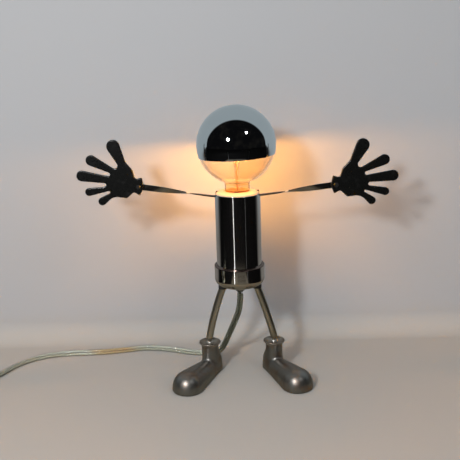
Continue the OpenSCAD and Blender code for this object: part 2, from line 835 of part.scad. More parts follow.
// A strip on the porcelain floor with a stud that the bulb's contact stands on
module centre_contact() {
    strip = 0.6;
    width = 5;
    color(brass) {
        translate([-width / 2, -width / 2, floor_z]) cube([terminal_x + width, width, strip]);
        translate([0, 0, floor_z + strip])
            cylinder(d = width, h = contact_z - slip - floor_z - strip, $fn = 32);
    }
}

// Two screws that hold the conductors under the porcelain floor, with their rivets through it
module terminal_screws() {
    color(brass) for (side = [-1, 1])
        translate([side * terminal_x, 0, floor_z - floor_t]) {
            translate([0, 0, -terminal_head]) cylinder(d = 2 * terminal_d, h = terminal_head, $fn = 32);
            cylinder(d = terminal_d, h = floor_t, $fn = 32);
        }
}

module lampholder_entry() {
    low = barrel_low_z - entry_h;
    color(chrome) difference() {
        translate([0, 0, low]) rotate_extrude() difference() {
            square([barrel_d / 2, entry_h]);
            translate([0, entry_t]) square([barrel_d / 2 - entry_t, entry_h]);
        }
        translate([0, 0, low - cut]) cylinder(d = stem_d + 2 * run, h = entry_t + 2 * cut);
    }
}

module threaded_stem() {
    color(olive) translate([0, 0, stem_low_z]) difference() {
        cylinder(d = stem_d, h = stem_top_z - stem_low_z);
        translate([0, 0, -cut]) cylinder(d = stem_bore, h = stem_top_z - stem_low_z + 2 * cut);
    }
}

module hex_nut(z) {
    translate([0, 0, z]) difference() {
        cylinder(d = nut_af / cos(30), h = nut_h, $fn = 6);
        translate([0, 0, -cut]) cylinder(d = stem_d + 2 * run, h = nut_h + 2 * cut);
    }
}

module stem_nuts() {
    color(brass) {
        hex_nut(block_z + block_h);
        hex_nut(barrel_low_z - entry_h - nut_h);
    }
}

module bell_nut() {
    color(chrome) translate([0, 0, hip_z - bell_h]) rotate_extrude() difference() {
        polygon([
            [0, 0], [bell_low_d / 2 - 1, 0], [bell_low_d / 2, 1],
            for (a = [0 : 15 : 90])
                [bell_low_d / 2 + (bell_top_d - bell_low_d) / 2 * (1 - cos(a)), 1 + (bell_h - 2) * sin(a)],
            [bell_top_d / 2, bell_h], [0, bell_h]
        ]);
        translate([0, -cut]) square([stem_bore / 2, bell_h + 2 * cut]);
        translate([0, bell_lip]) square([stem_d / 2 + run, bell_h + cut]);
    }
}

bush_z = hip_z - bell_h - bush_ring_h;

// Slot for the flat flex, along X
module flex_slot(z, h, gap) {
    half = (flex_w - flex_t) / 2;
    translate([0, 0, z]) {
        for (side = [-1, 1]) translate([side * half, 0, 0]) cylinder(d = flex_t + 2 * gap, h = h, $fn = 32);
        translate([-half, -flex_t / 2 - gap, 0]) cube([2 * half, flex_t + 2 * gap, h]);
    }
}

module flex_bushing() {
    color(dark) difference() {
        union() {
            translate([0, 0, bush_z]) cylinder(d = bush_ring_d, h = bush_ring_h);
            translate([0, 0, bush_z + bush_ring_h])
                cylinder(d1 = stem_bore - 2 * run, d2 = stem_bore - 0.6, h = bush_len);
        }
        flex_slot(bush_z - cut, bush_ring_h + bush_len + 2 * cut, run);
    }
}

// The flex inside the lamp, from the bushing's outer face to the terminals
module inner_flex() {
    split_z = stem_top_z + 1;
    rise = floor_z - floor_t - terminal_head - slip - split_z;
    core_r = flex_t / 2 - 0.1;
    start_x = flex_w / 4 + 0.1;
    color(clear) {
        flex_slot(bush_z, split_z - bush_z, 0);
        for (side = [-1, 1]) skin([
            for (t = [0 : 0.25 : 1])
            let (x = side * (start_x + (terminal_x - start_x) * ease(t)))
            [for (a = [0 : 45 : 315]) [x + core_r * cos(a), core_r * sin(a), split_z + rise * t]]
        ]);
    }
}

// ---- bulb ----

// Half section of a globe on a neck, joined by a fillet, with the neck drawn in to fit the screw cap
module globe_outline(r, neck_r, fillet_r, end_r) {
    intersection() {
        translate([0, tuck_z]) square([2 * r, 6 * r]);
        difference() {
            union() {
                translate([0, globe_z]) circle(r, $fn = 128);
                polygon([
                    [0, tuck_z], [end_r, tuck_z], [end_r, cap_top_z + tuck_gap], [neck_r, neck_low_z],
                    [neck_r, fillet_z], [neck_r + fillet_r, fillet_z], [0, globe_z]
                ]);
            }
            translate([neck_r + fillet_r, fillet_z]) circle(fillet_r);
        }
    }
}

module bulb_glass() {
    color(clear) rotate_extrude($fn = 96) difference() {
        globe_outline(glass_r, neck_d / 2, neck_fillet, tuck_r);
        globe_outline(glass_r - glass_t, neck_d / 2 - glass_t, neck_fillet + glass_t, tuck_r - glass_t);
    }
}

module bulb_silver() {
    color(chrome) rotate_extrude($fn = 96) intersection() {
        difference() {
            translate([0, globe_z]) circle(coat_r, $fn = 128);
            translate([0, globe_z]) circle(coat_r - coat_t, $fn = 128);
        }
        translate([0, globe_z - mirror_drop]) square([coat_r + cut, 2 * coat_r]);
    }
}

module bulb_cap() {
    r = cap_d / 2;
    skirt = 4;
    inner_r = r - cap_wall;
    color(brass) translate([0, 0, cap_low_z]) rotate_extrude() {
        polygon(thread_wall(r, thread_deep, cap_wall, cap_len - skirt));
        translate([inner_r, cap_len - skirt]) square([cap_wall, skirt]);
        translate([inner_r - thread_deep - 3, 0]) square([thread_deep + 3, cap_wall]);
    }
}

module bulb_insulator() {
    color(dark) translate([0, 0, cap_low_z - insulator_h])
        cylinder(d1 = 11, d2 = cap_d - 4, h = insulator_h);
}

module bulb_contact() {
    color(brass) translate([0, 0, contact_z]) cylinder(d1 = 7, d2 = 9, h = contact_h);
}

// Glass stem: a flare that closes the neck, and a rod that carries the filament
module bulb_stem() {
    flare_r = tuck_r - glass_t - run;
    flare_t = 1;
    flare_rise = 9;
    color(clear) rotate_extrude() polygon([
        [0, tuck_z], [flare_r, tuck_z], [flare_r, tuck_z + flare_t],
        for (a = [0 : 15 : 90])
            [rod_r + (flare_r - rod_r) * (1 - sin(a)), tuck_z + flare_t + flare_rise * (1 - cos(a))],
        [rod_r, button_z - 2], [button_r, button_z], [rod_r, button_z + 2], [0, button_z + 2.5]
    ]);
}

module bulb_filament() {
    wire_r = 0.4;
    coil_thick = 1.6;
    foot_x = button_r - wire_r;
    color(brass) {
        for (side = [-1, 1])
            skin([for (t = [0 : 0.25 : 1]) [for (a = [0 : 60 : 300]) [
                side * (foot_x + (filament_x - foot_x) * t) + wire_r * cos(a),
                wire_r * sin(a), button_z + (filament_z - button_z) * sqrt(t)
            ]]]);
        translate([-filament_x, 0, filament_z]) rotate([0, 90, 0])
            cylinder(d = coil_thick, h = 2 * filament_x, $fn = 24);
    }
}

// ---- flex, coil and tie ----

module flex_lead() {
    flex_tube(LEAD, 2);
}

module flex_tail() {
    flex_tube(TAIL, 3);
}

module flex_end() {
    flex_tube(LAST, 3);
}

module flex_coil() {
    color(clear) translate([coil_at[0], coil_at[1], tie_t]) rotate_extrude($fn = 72)
        translate([coil_r - coil_w / 2, 0]) square([coil_w, coil_h]);
}

module flex_tie() {
    color(dark) translate([coil_at[0], coil_at[1], 0]) rotate([0, 0, tie_angle])
        rotate([0, 0, -tie_w / coil_r * 90 / PI])
            rotate_extrude(angle = tie_w / coil_r * 180 / PI, $fn = 72)
                translate([coil_r - coil_w / 2 - tie_t, 0]) difference() {
                    square([coil_w + 2 * tie_t, coil_h + 2 * tie_t]);
                    translate([tie_t, tie_t]) square([coil_w, coil_h]);
                }
}

// ---- switch on the flex ----

module at_switch() {
    translate([switch_mid[0], switch_mid[1], 0]) rotate([0, 0, switch_turn]) children();
}

axle_cover = 0.6;
axle_end = 2.6;
bearing_z = switch_h - axle_d / 2 - axle_cover;
switch_corner = 8;
switch_end = 4;
tray_corner = 5;
slot_l = 10;
screw_x = 17;
screw_d = 2.6;
screw_low = 0.4;
screw_grip = 4;
boss_d = 6;
ear_t = 2;
ear_w = 6;
ear_gap = 0.8;
ear_under = 3;
roof_gap = 0.2;
rocker_gap_l = 0.9;
rocker_gap_w = 0.4;
contact = [8, 4, 4];
contact_y = 3;

// Half shell of the switch: an oblong tray open towards the seam
module switch_tray(low, high, inner_low, inner_high) {
    difference() {
        translate([0, 0, low]) linear_extrude(high - low) polygon(oblong(switch_l, switch_w, switch_corner));
        translate([0, 0, inner_low]) linear_extrude(inner_high - inner_low)
            polygon(oblong(switch_l - 2 * switch_end, switch_w - 2 * switch_wall, tray_corner));
        for (side = [-1, 1]) translate([side * switch_l / 2, 0, switch_z])
            rotate([90, 0, 90]) translate([0, 0, -slot_l / 2]) flex_slot(0, slot_l, run);
    }
}

module switch_base() {
    color(dark) at_switch() difference() {
        switch_tray(0, switch_z, switch_wall, switch_z + cut);
        for (side = [-1, 1]) translate([side * screw_x, 0, -cut])
            cylinder(d = screw_d + 2 * run, h = switch_h, $fn = 32);
    }
}

module switch_cover() {
    color(dark) at_switch() difference() {
        union() {
            switch_tray(switch_z, switch_h, switch_z - cut, switch_h - switch_wall);
            for (side = [-1, 1])
                translate([
                    -ear_w / 2,
                    side * (rocker_w / 2 + ear_gap + ear_t / 2) - ear_t / 2,
                    bearing_z - ear_under
                ])
                    cube([ear_w, ear_t, switch_h - bearing_z + ear_under - roof_gap]);
            for (side = [-1, 1]) translate([side * screw_x, 0, switch_z])
                cylinder(d = boss_d, h = switch_h - switch_z - roof_gap);
        }
        translate([-rocker_l / 2 - rocker_gap_l, -rocker_w / 2 - rocker_gap_w, bearing_z - 1])
            cube([rocker_l + 2 * rocker_gap_l, rocker_w + 2 * rocker_gap_w, switch_h]);
        translate([0, -rocker_w / 2 - axle_end - ear_gap, bearing_z]) rotate([-90, 0, 0])
            cylinder(d = axle_d + 2 * run, h = rocker_w + 2 * (axle_end + ear_gap), $fn = 32);
        for (side = [-1, 1]) translate([side * screw_x, 0, switch_z - cut])
            cylinder(d = screw_d + 2 * run, h = screw_grip + fit + cut, $fn = 32);
    }
}

module switch_rocker() {
    half = rocker_l / 2;
    color([0.85, 0.85, 0.83]) at_switch() translate([0, 0, bearing_z]) rotate([0, rocker_tilt, 0]) {
        translate([0, rocker_w / 2, 0]) rotate([90, 0, 0]) linear_extrude(rocker_w) polygon([
            [-half, 3.3], [-half / 2, 2.4], [0, 2.1], [half / 2, 2.4], [half, 3.3],
            [half - 1, -1.4], [4, -3.4], [-4, -3.4], [1 - half, -1.4]
        ]);
        translate([0, -rocker_w / 2 - axle_end, 0]) rotate([-90, 0, 0])
            cylinder(d = axle_d, h = rocker_w + 2 * axle_end, $fn = 32);
    }
}

module switch_contacts() {
    color(brass) at_switch() for (side = [-1, 1])
        translate([side * contact[0] - contact[0] / 2, contact_y, switch_wall]) cube(contact);
}

module switch_screws() {
    color(brass) at_switch() for (side = [-1, 1])
        translate([side * screw_x, 0, screw_low])
            cylinder(d = screw_d, h = switch_z + screw_grip - screw_low, $fn = 32);
}

// ---- plug ----

plug_corner = 6;
neck_cover = 1.2;
neck_sunk = 2;
blade_hold = 6;
eyelet_d = 3;
eyelet_in = 4.5;

module at_plug() {
    translate([plug_at[0], plug_at[1], 0]) children();
}

module at_blade(side) {
    translate([side * blade_gap / 2 - blade_t / 2, plug_neck + plug_l - blade_hold, (plug_t - blade_w) / 2])
        children();
}

module plug_body() {
    mid = plug_t / 2;
    color(dark) at_plug() difference() {
        union() {
            translate([0, plug_neck + plug_l / 2, 0]) rotate([0, 0, 90])
                linear_extrude(plug_t) polygon(oblong(plug_l, plug_w, plug_corner));
            translate([0, 0, mid]) rotate([-90, 0, 0])
                cylinder(d1 = flex_w + 2 * neck_cover, d2 = plug_t - 0.5, h = plug_neck + neck_sunk);
        }
        for (side = [-1, 1])
            at_blade(side) cube([blade_t, blade_hold + cut, blade_w]);
    }
}

module plug_blades() {
    color(brass) at_plug() for (side = [-1, 1])
        at_blade(side) difference() {
            cube([blade_t, blade_l + blade_hold, blade_w]);
            translate([-cut, blade_l + blade_hold - eyelet_in, blade_w / 2]) rotate([0, 90, 0])
                cylinder(d = eyelet_d, h = blade_t + 2 * cut, $fn = 24);
        }
}

// The body axis stands a little behind the middle of the floor that the lamp covers
translate([0, body_y, 0]) {
    body_tube();
    base_cup();
    hip_block();
    leg_lock_screws();
    hip_rings();
    left_leg();
    right_leg();
    left_ankle_bead();
    right_ankle_bead();
    left_shoe();
    right_shoe();
    left_sole();
    right_sole();
    shoulder_ring();
    shoulder_pins();
    left_arm();
    right_arm();
    left_wrist_rivet();
    right_wrist_rivet();
    left_hand();
    right_hand();
    lampholder_body();
    screw_shell();
    centre_contact();
    terminal_screws();
    lampholder_entry();
    threaded_stem();
    stem_nuts();
    bell_nut();
    flex_bushing();
    inner_flex();
    bulb_glass();
    bulb_silver();
    bulb_cap();
    bulb_insulator();
    bulb_contact();
    bulb_stem();
    bulb_filament();
    flex_lead();
    flex_tail();
    flex_coil();
    flex_end();
    flex_tie();
    switch_base();
    switch_cover();
    switch_rocker();
    switch_contacts();
    switch_screws();
    plug_body();
    plug_blades();
}
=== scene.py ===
import math
import bpy
import bmesh
import numpy as np
from mathutils import Matrix


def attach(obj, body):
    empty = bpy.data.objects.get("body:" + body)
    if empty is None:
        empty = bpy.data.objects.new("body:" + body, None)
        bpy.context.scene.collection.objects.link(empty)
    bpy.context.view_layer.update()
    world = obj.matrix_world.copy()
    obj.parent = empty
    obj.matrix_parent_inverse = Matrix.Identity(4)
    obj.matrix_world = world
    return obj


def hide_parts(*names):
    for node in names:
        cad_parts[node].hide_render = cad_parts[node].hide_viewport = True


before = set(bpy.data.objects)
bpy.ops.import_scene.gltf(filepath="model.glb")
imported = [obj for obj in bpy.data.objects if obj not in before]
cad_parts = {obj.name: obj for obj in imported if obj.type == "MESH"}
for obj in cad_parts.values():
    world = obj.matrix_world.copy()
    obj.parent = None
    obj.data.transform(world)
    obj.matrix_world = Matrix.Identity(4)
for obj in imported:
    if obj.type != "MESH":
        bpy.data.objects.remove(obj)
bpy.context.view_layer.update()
mm = 0.001
stand = np.array([0.0, 11.0, 0.0])  # the foot of the body axis, in millimetres


def ease(t):
    # 3t^2 - 2t^3 between 0 and 1
    t = np.clip(t, 0, 1)
    return t * t * (3 - 2 * t)


def easeBetween(at, knots, values):
    # steps from one value to the next between the knots, flat at each knot
    knots, values = np.asarray(knots, float), np.asarray(values, float)
    i = np.clip(np.searchsorted(knots, at, side="right") - 1, 0, len(knots) - 2)
    return values[i] + (values[i + 1] - values[i]) * ease((at - knots[i]) / (knots[i + 1] - knots[i]))


def joined(*parts):
    # arrays side by side in a new last axis, each spread to the same shape first
    return np.stack(np.broadcast_arrays(*parts), -1)


def unit(v):
    return v / np.linalg.norm(v, axis=-1, keepdims=True)


def quarterTurn(count):
    return np.radians(np.linspace(0, 90, count))


def fullTurn(count):
    return np.linspace(0, 2 * np.pi, count, endpoint=False)


def arc(middle, radius, first, last, count):
    # points (r, z) on a circle from one angle to another, in degrees
    a = np.radians(np.linspace(first, last, count))
    return joined(middle[0] + radius * np.cos(a), middle[1] + radius * np.sin(a))


def smoothRoute(route, steps):
    # cubic through the points: the stretch from b to c leans on its neighbours a and d
    p = np.vstack([route[:1], route, route[-1:]])
    a, b, c, d = p[:-3, None], p[1:-2, None], p[2:-1, None], p[3:, None]
    t = np.linspace(0, 1, steps, endpoint=False)[None, :, None]
    square, cube = 2 * a - 5 * b + 4 * c - d, 3 * b - a - 3 * c + d
    inner = 0.5 * (2 * b + (c - a) * t + square * t ** 2 + cube * t ** 3)
    return np.vstack([inner.reshape(-1, route.shape[1]), route[-1:]])


def turned(outline, sides=128):
    # an outline of (radius, height) carried round the Z axis
    outline = np.asarray(outline, float)
    a = fullTurn(sides)
    r, z = outline[:, :1], outline[:, 1:]
    return joined(r * np.cos(a), r * np.sin(a), z)


def carried(path, across, through, section):
    # a section (u, v), one for all rows or one for each, set on the path along two directions
    section = np.asarray(section, float)
    u, v = section[..., 0], section[..., 1]
    if u.ndim == 1:
        u, v = u[None, :], v[None, :]
    return path[:, None] + u[..., None] * across[:, None] + v[..., None] * through[:, None]


def roundedBox(width, thick, radius, count=5):
    # the outline of a flat bar with round edges
    w, t = width / 2 - radius, thick / 2 - radius
    return np.vstack([arc((w, t), radius, 0, 90, count), arc((-w, t), radius, 90, 180, count),
                      arc((-w, -t), radius, 180, 270, count), arc((w, -t), radius, 270, 360, count)])


def poled(grid):
    # each end row closes on its own middle
    ends = [np.repeat(row.mean(0, keepdims=True), len(row), 0)[None] for row in (grid[0], grid[-1])]
    return np.concatenate([ends[0], grid, ends[1]])


def placed(points, turn=0, move=(0, 0, 0), mirrored=False):
    # turned about Z by an angle in degrees, moved, and then mirrored in X if asked
    a = math.radians(turn)
    spin = np.array([[math.cos(a), math.sin(a), 0], [-math.sin(a), math.cos(a), 0], [0, 0, 1]])
    points = points @ spin + np.array(move)
    return points * [-1, 1, 1] if mirrored else points


def addObject(name, data):
    # an object in the scene that holds this mesh, light or camera
    made = bpy.data.objects.new(name, data)
    bpy.context.collection.objects.link(made)
    return made


def gridFaces(grid, loop, flats):
    # faces between neighbouring rows and columns, with a map in millimetres along the rows
    rows, cols = grid.shape[:2]
    r = np.arange(rows if loop else rows - 1)[:, None]
    c = np.arange(cols)[None, :]
    nextRow, nextCol = (r + 1) % rows, (c + 1) % cols
    quads = joined(r * cols + c, r * cols + nextCol, nextRow * cols + nextCol, nextRow * cols + c)
    along = np.concatenate([[0], np.cumsum(np.linalg.norm(np.diff(grid.mean(1), axis=0), axis=1))])
    u = along[np.stack([row + 0 * c for row in (r, r, nextRow, nextRow)], -1)]
    uv = joined(u, joined(c, c + 1, c + 1, c) / cols).reshape(-1, 2)
    faces = quads.reshape(-1, 4).tolist()
    if flats:
        faces += [list(range(cols)), list(range((rows - 1) * cols, rows * cols))]
        uv = np.vstack([uv, np.zeros((2 * cols, 2))])
    return faces, uv


def makePiece(name, grids, body, finish, stands=(), loop=False, flats=False, sharp=38):
    # one mesh from grids of points in millimetres: the columns run round, the rows too where loop is set,
    # and flats closes the two end rows with one flat face each
    faces, corners, start = [], [], 0
    for grid in grids:
        found, uv = gridFaces(grid, loop, flats)
        faces += [[start + k for k in face] for face in found]
        corners.append(uv)
        start += grid.shape[0] * grid.shape[1]
    points = np.vstack([grid.reshape(-1, 3) for grid in grids])
    mesh = bpy.data.meshes.new(name)
    mesh.from_pydata(((points + stand) * mm).tolist(), [], faces)
    layer = mesh.uv_layers.new(name="route")
    layer.data.foreach_set("uv", np.vstack(corners).astype(np.float32).ravel())
    bm = bmesh.new()
    bm.from_mesh(mesh)
    bmesh.ops.remove_doubles(bm, verts=bm.verts, dist=2e-7)
    bmesh.ops.dissolve_degenerate(bm, edges=bm.edges, dist=1e-8)
    bmesh.ops.recalc_face_normals(bm, faces=bm.faces)
    bm.to_mesh(mesh)
    bm.free()
    mesh.shade_smooth()
    mesh.set_sharp_from_angle(angle=math.radians(sharp))
    mesh.materials.append(finish)
    made = addObject(name, mesh)
    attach(made, body)
    if stands:
        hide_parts(*stands)
    return made


class Value:
    # a socket that adds its Math nodes when it is used in an expression
    def __init__(self, paint, socket):
        self.paint, self.socket = paint, socket

    def join(self, operation, a, b):
        return self.paint.add("Math", {"operation": operation}, {0: a, 1: b}).out()

    def __add__(self, other):
        return self.join("ADD", self, other)

    def __sub__(self, other):
        return self.join("SUBTRACT", self, other)

    def __mul__(self, other):
        return self.join("MULTIPLY", self, other)

    def __radd__(self, other):
        return self.join("ADD", other, self)

    def __rsub__(self, other):
        return self.join("SUBTRACT", other, self)

    def __rmul__(self, other):
        return self.join("MULTIPLY", other, self)


class Node:
    def __init__(self, paint, node):
        self.paint, self.node = paint, node

    def out(self, name=0):
        return Value(self.paint, self.node.outputs[name])


class Paint:
    # a material under way: its Principled shader, and a method that adds any other node
    def __init__(self, name, owner=None):
        self.material = owner or bpy.data.materials.new(name)
        self.material.use_nodes = True
        self.tree = self.material.node_tree
        self.shader = self.tree.nodes.get("Principled BSDF")

    def feed(self, node, sockets):
        for key, value in sockets.items():
            if isinstance(value, Value):
                self.tree.links.new(value.socket, node.inputs[key])
            else:
                node.inputs[key].default_value = value

    def add(self, kind, settings=None, sockets=None):
        node = self.tree.nodes.new("ShaderNode" + kind)
        for key, value in (settings or {}).items():
            setattr(node, key, value)
        self.feed(node, sockets or {})
        return Node(self, node)

    def set(self, **sockets):
        self.feed(self.shader, {key.replace("_", " "): value for key, value in sockets.items()})

    def coords(self, scale=(1, 1, 1), name="Object"):
        place = self.add("TexCoord").out(name)
        return self.add("Mapping", {}, {"Vector": place, "Scale": scale}).out()

    def parts(self, vector):
        split = self.add("SeparateXYZ", {}, {0: vector})
        return split.out(0), split.out(1), split.out(2)

    def noise(self, vector, scale, detail=3, rough=0.5):
        return self.add("TexNoise", {}, {"Vector": vector, "Scale": scale, "Detail": detail,
                                         "Roughness": rough}).out("Fac")

    def spread(self, value, low, high, first=0.0, last=1.0):
        return self.add("MapRange", {"interpolation_type": "SMOOTHSTEP"}, {
            "Value": value, "From Min": low, "From Max": high, "To Min": first, "To Max": last}).out()

    def mix(self, share, first, last):
        made = self.add("Mix", {"data_type": "RGBA"}, {0: share})
        self.feed(made.node, {6: first if isinstance(first, Value) else (*first, 1),
                              7: last if isinstance(last, Value) else (*last, 1)})
        return made.out(2)

    def apart(self, value, other=0.0):
        return self.add("Math", {"operation": "ABSOLUTE"}, {0: value - other}).out()

    def seenInMetal(self):
        # 1 where a ray comes off metal, and not through glass
        ray = self.add("LightPath")
        return ray.out("Is Glossy Ray") * (1 - ray.out("Is Transmission Ray"))

    def letThrough(self, share):
        # clear where the share is 1
        mixed = self.add("MixShader", {}, {0: share})
        self.tree.links.new(self.shader.outputs[0], mixed.node.inputs[1])
        self.tree.links.new(self.add("BsdfTransparent").node.outputs[0], mixed.node.inputs[2])
        self.tree.links.new(mixed.node.outputs[0], self.tree.nodes["Material Output"].inputs[0])

    def facing(self, low, high):
        # 0 where the surface faces the viewer, 1 where it turns away
        return self.spread(self.add("LayerWeight", {}, {"Blend": 0.5}).out("Facing"), low, high)

    def bump(self, height, strength, distance):
        bumped = self.add("Bump", {}, {"Strength": strength, "Distance": distance, "Height": height})
        self.set(Normal=bumped.out())


def shaded(tone, share):
    # the tone, each part times the share
    return tuple(share * t for t in tone)


def plating(p, share=0.04):
    # the colour and roughness of bright plating with faint wipe marks and smudges
    wipe = p.noise(p.coords((1, 1, 0.25)), 60, 4)
    smudge = p.spread(p.noise(p.coords(), 28, 2), 0.48, 0.75)
    return p.mix(smudge * 0.35, (0.72, 0.70, 0.67), (0.65, 0.63, 0.60)), 0.045 + wipe * 0.03 + smudge * share


def polishedChrome(name):
    p = Paint(name)
    colour, rough = plating(p)
    p.set(Base_Color=colour, Metallic=1.0, Roughness=rough)
    return p.material


def satinSteel(name, tone, rough, stretch=(1, 1, 1)):
    # drawn or brushed metal: fine marks along it, and slow stains
    p = Paint(name)
    marks = p.noise(p.coords(stretch), 900, 3)
    stain = p.noise(p.coords(), 55, 3)
    share = p.spread(stain, 0.35, 0.7)
    p.set(Base_Color=p.mix(share, tone, (tone[0] * 0.78, tone[1] * 0.74, tone[2] * 0.66)), Metallic=1.0,
          Roughness=rough + marks * 0.1 + share * 0.05)
    p.bump(marks, 0.12, 0.0002)
    return p.material


def castPewter(name):
    # dark cast metal, tumbled smooth, with warmer clouds, small pits and a paler, warmer cuff and dish
    p = Paint(name)
    place = p.coords()
    x, y, z = p.parts(place)
    grain = p.noise(place, 700, 4, 0.6)
    cloud = p.noise(place, 70, 3)
    warm = p.spread(cloud, 0.42, 0.72)
    cells = p.add("TexVoronoi", {"feature": "F1"}, {"Vector": place, "Scale": 420}).out("Distance")
    pits = p.spread(cells, 0.0, 0.16)
    dish = p.spread(z, 0.0365, 0.0385)
    body = p.mix(warm * 0.8, (0.27, 0.265, 0.25), (0.26, 0.19, 0.15))
    p.set(Base_Color=p.mix(dish, body, (0.40, 0.35, 0.30)), Metallic=1.0,
          Roughness=0.32 + grain * 0.1 + cloud * 0.05)
    p.bump(grain * 0.25 + pits * 0.2 + cloud * 1.6, 0.3, 0.0006)
    return p.material


def blackEnamel(name, tone=(0.012, 0.012, 0.012), rough=0.32, depth=0.15):
    # black coat with a light orange-peel skin
    p = Paint(name)
    place = p.coords()
    skin = p.noise(place, 620, 2)
    dust = p.spread(p.noise(place, 110, 4), 0.55, 0.8)
    p.set(Base_Color=p.mix(dust * 0.6, tone, tuple(t + 0.006 for t in tone)), Metallic=0.0,
          Roughness=rough + skin * 0.08 + dust * 0.1)
    p.bump(skin, depth, 0.0002)
    return p.material


def mottled(name, tones, rough, cloud, grain, skin, rises, **more):
    # two tones mixed by slow clouds, and a fine grain: each is a noise's scale, detail and roughness,
    # skin is the strength and depth of the bump, and rises says how much each one adds to the roughness
    p = Paint(name)
    place = p.coords()
    slow, fine = p.noise(place, *cloud), p.noise(place, *grain)
    p.set(Base_Color=p.mix(slow, *tones), Roughness=rough + slow * rises[0] + fine * rises[1], **more)
    p.bump(fine, *skin)
    return p.material


def mouldedPlastic(name, tone, rough=0.42):
    duller = tuple(0.86 * t + 0.004 for t in tone)
    return mottled(name, (tone, duller), rough, (45, 3), (1500, 2), (0.18, 0.0002), (0.0, 0.14))


def softRubber(name, tone=(0.018, 0.018, 0.018)):
    return mottled(name, (tone, shaded(tone, 1.6)), 0.62, (80, 3), (1100, 4, 0.7), (0.3, 0.0003), (0.0, 0.2))


def plainMetal(name, tone, rough=0.25):
    return mottled(name, (tone, shaded(tone, 0.72)), rough, (160, 4), (1400, 2), (0.08, 0.0001), (0.15, 0.0),
                   Metallic=1.0)


def glazedPorcelain(name):
    # cream glaze in two darker, browner tones
    tones = ((0.50, 0.43, 0.33), (0.44, 0.36, 0.26))
    return mottled(name, tones, 0.16, (90, 3), (90, 3), (0.05, 0.0004), (0.1, 0.0))


camera = {
    "x": -1.31, "distance": 845.9, "height": 410.0,  # millimetres
    "pitch": 14.535, "yaw": -0.604, "roll": 1.779,  # degrees
    "lens": 56.54,
}


def standing(place, *axes):
    # a matrix with its x, y and z axes along three directions
    matrix = Matrix.Identity(4)
    for column, axis in enumerate(axes):
        for row in range(3):
            matrix[row][column] = axis[row]
    matrix.translation = place
    return matrix


def makeCamera():
    pitch, yaw, roll = (math.radians(camera[k]) for k in ("pitch", "yaw", "roll"))
    ahead = np.array([math.sin(yaw) * math.cos(pitch), math.cos(yaw) * math.cos(pitch), -math.sin(pitch)])
    right = np.array([math.cos(yaw), -math.sin(yaw), 0])
    up = np.cross(right, ahead)
    rolledRight = math.cos(roll) * right - math.sin(roll) * up
    rolledUp = math.sin(roll) * right + math.cos(roll) * up
    data = bpy.data.cameras.new("lampCamera")
    data.lens, data.sensor_width = camera["lens"], 36
    data.sensor_fit = "HORIZONTAL"
    data.clip_start, data.clip_end = 0.01, 50
    made = addObject("lampCamera", data)
    place = np.array([camera["x"], -camera["distance"], camera["height"]]) * mm
    made.matrix_world = standing(place, rolledRight, rolledUp, -ahead)
    bpy.context.scene.camera = made


makeCamera()
print("camera placed")


flex = {
    # x, y, z in millimetres and the roll of the flat side in degrees
    "lead": [
        (0, 0, 110, 108), (-0.2, 0.6, 98, 116), (-2.6, 6, 80, 128), (-8.6, 15.5, 61, 136),
        (-16, 27, 40, 142), (-22.8, 37, 21.5, 156), (-29.8, 44.5, 9.4, 172), (-40, 49, 4.6, 180),
        (-54, 50.5, 4, 180), (-70, 54, 4, 180), (-90, 62, 4, 180), (-113, 69.5, 4, 180),
        (-136, 71.5, 4, 180), (-158, 67, 4, 180), (-182, 62.5, 4, 185), (-207, 61, 3.9, 200),
        (-232, 61, 3.8, 215), (-255, 58, 3.5, 230), (-275, 51, 3, 245), (-291, 39, 2.6, 260),
        (-303, 23, 2.7, 270), (-312, 4, 3.5, 270), (-319.5, -10, 5, 270), (-324.8, -19.5, 6.2, 270),
        (-327.4, -25.8, 6.5, 270)],
    "tail": [
        (-341.6, -65.2, 6.5, 90), (-344.4, -76.2, 6.2, 75), (-345.4, -88, 5.4, 45),
        (-346.2, -99.6, 4.9, 15), (-348.6, -110.6, 4.8, 0)],
    "end": [(-438, -96, 12.8, 0), (-438.6, -82, 12.1, 12), (-437.6, -68.5, 9.7, 55), (-436, -55, 7, 90)],
    "coilMiddle": (-392, -95), "coilStart": -19.8, "turns": 4.4417,
    "coilAt": [0, 0.74, 0.93, 1.74, 1.93, 2.7, 2.95, 3.4, 3.65, 4.1, 4.4],  # in turns
    "coilRadius": [46.1, 46.1, 41.6, 41.6, 37.1, 37.1, 37.1, 37.1, 41.6, 41.6, 46.1],
    "coilHeight": [4.8, 4.7, 4.7, 4.7, 4.7, 4.7, 12.6, 12.6, 12.6, 12.6, 12.8],
    "width": 7.6, "thick": 3.8, "core": 1.15, "web": 0.75, "length": 1.75,
    "cores": {"cordCoreCopper": (1, (0.86, 0.84, 0.72)), "cordCoreTinned": (-1, (0.92, 0.94, 0.88))},
}


def flexRoute():
    # the lead, a straight run through the switch, the tail, the coil and the end as one line
    turn = np.linspace(0, flex["turns"], 260)[1:-1]
    angle = np.radians(flex["coilStart"] - 360 * turn)
    radius = easeBetween(turn, flex["coilAt"], flex["coilRadius"])
    height = easeBetween(turn, flex["coilAt"], flex["coilHeight"])
    x, y = flex["coilMiddle"]
    coil = joined(x + radius * np.cos(angle), y + radius * np.sin(angle), height, 0)
    lead, tail, end = (smoothRoute(np.array(flex[k], float), 6) for k in ("lead", "tail", "end"))
    through = lead[-1] + (tail[0] - lead[-1]) * np.linspace(0, 1, 9)[1:-1, None]
    return np.vstack([lead, through, tail, coil, end])


def flexFrame(route):
    # the flat side stands up at a roll of 0 or 180 and lies level at 90 or 270
    path = route[:, :3]
    ahead = unit(np.gradient(path, axis=0))
    side = unit(np.cross(ahead, [0, 0, 1.0]))
    up = np.cross(side, ahead)
    roll = np.radians(route[:, 3:])
    wide = np.cos(roll) * up + np.sin(roll) * side
    return path, wide, np.cross(ahead, wide)


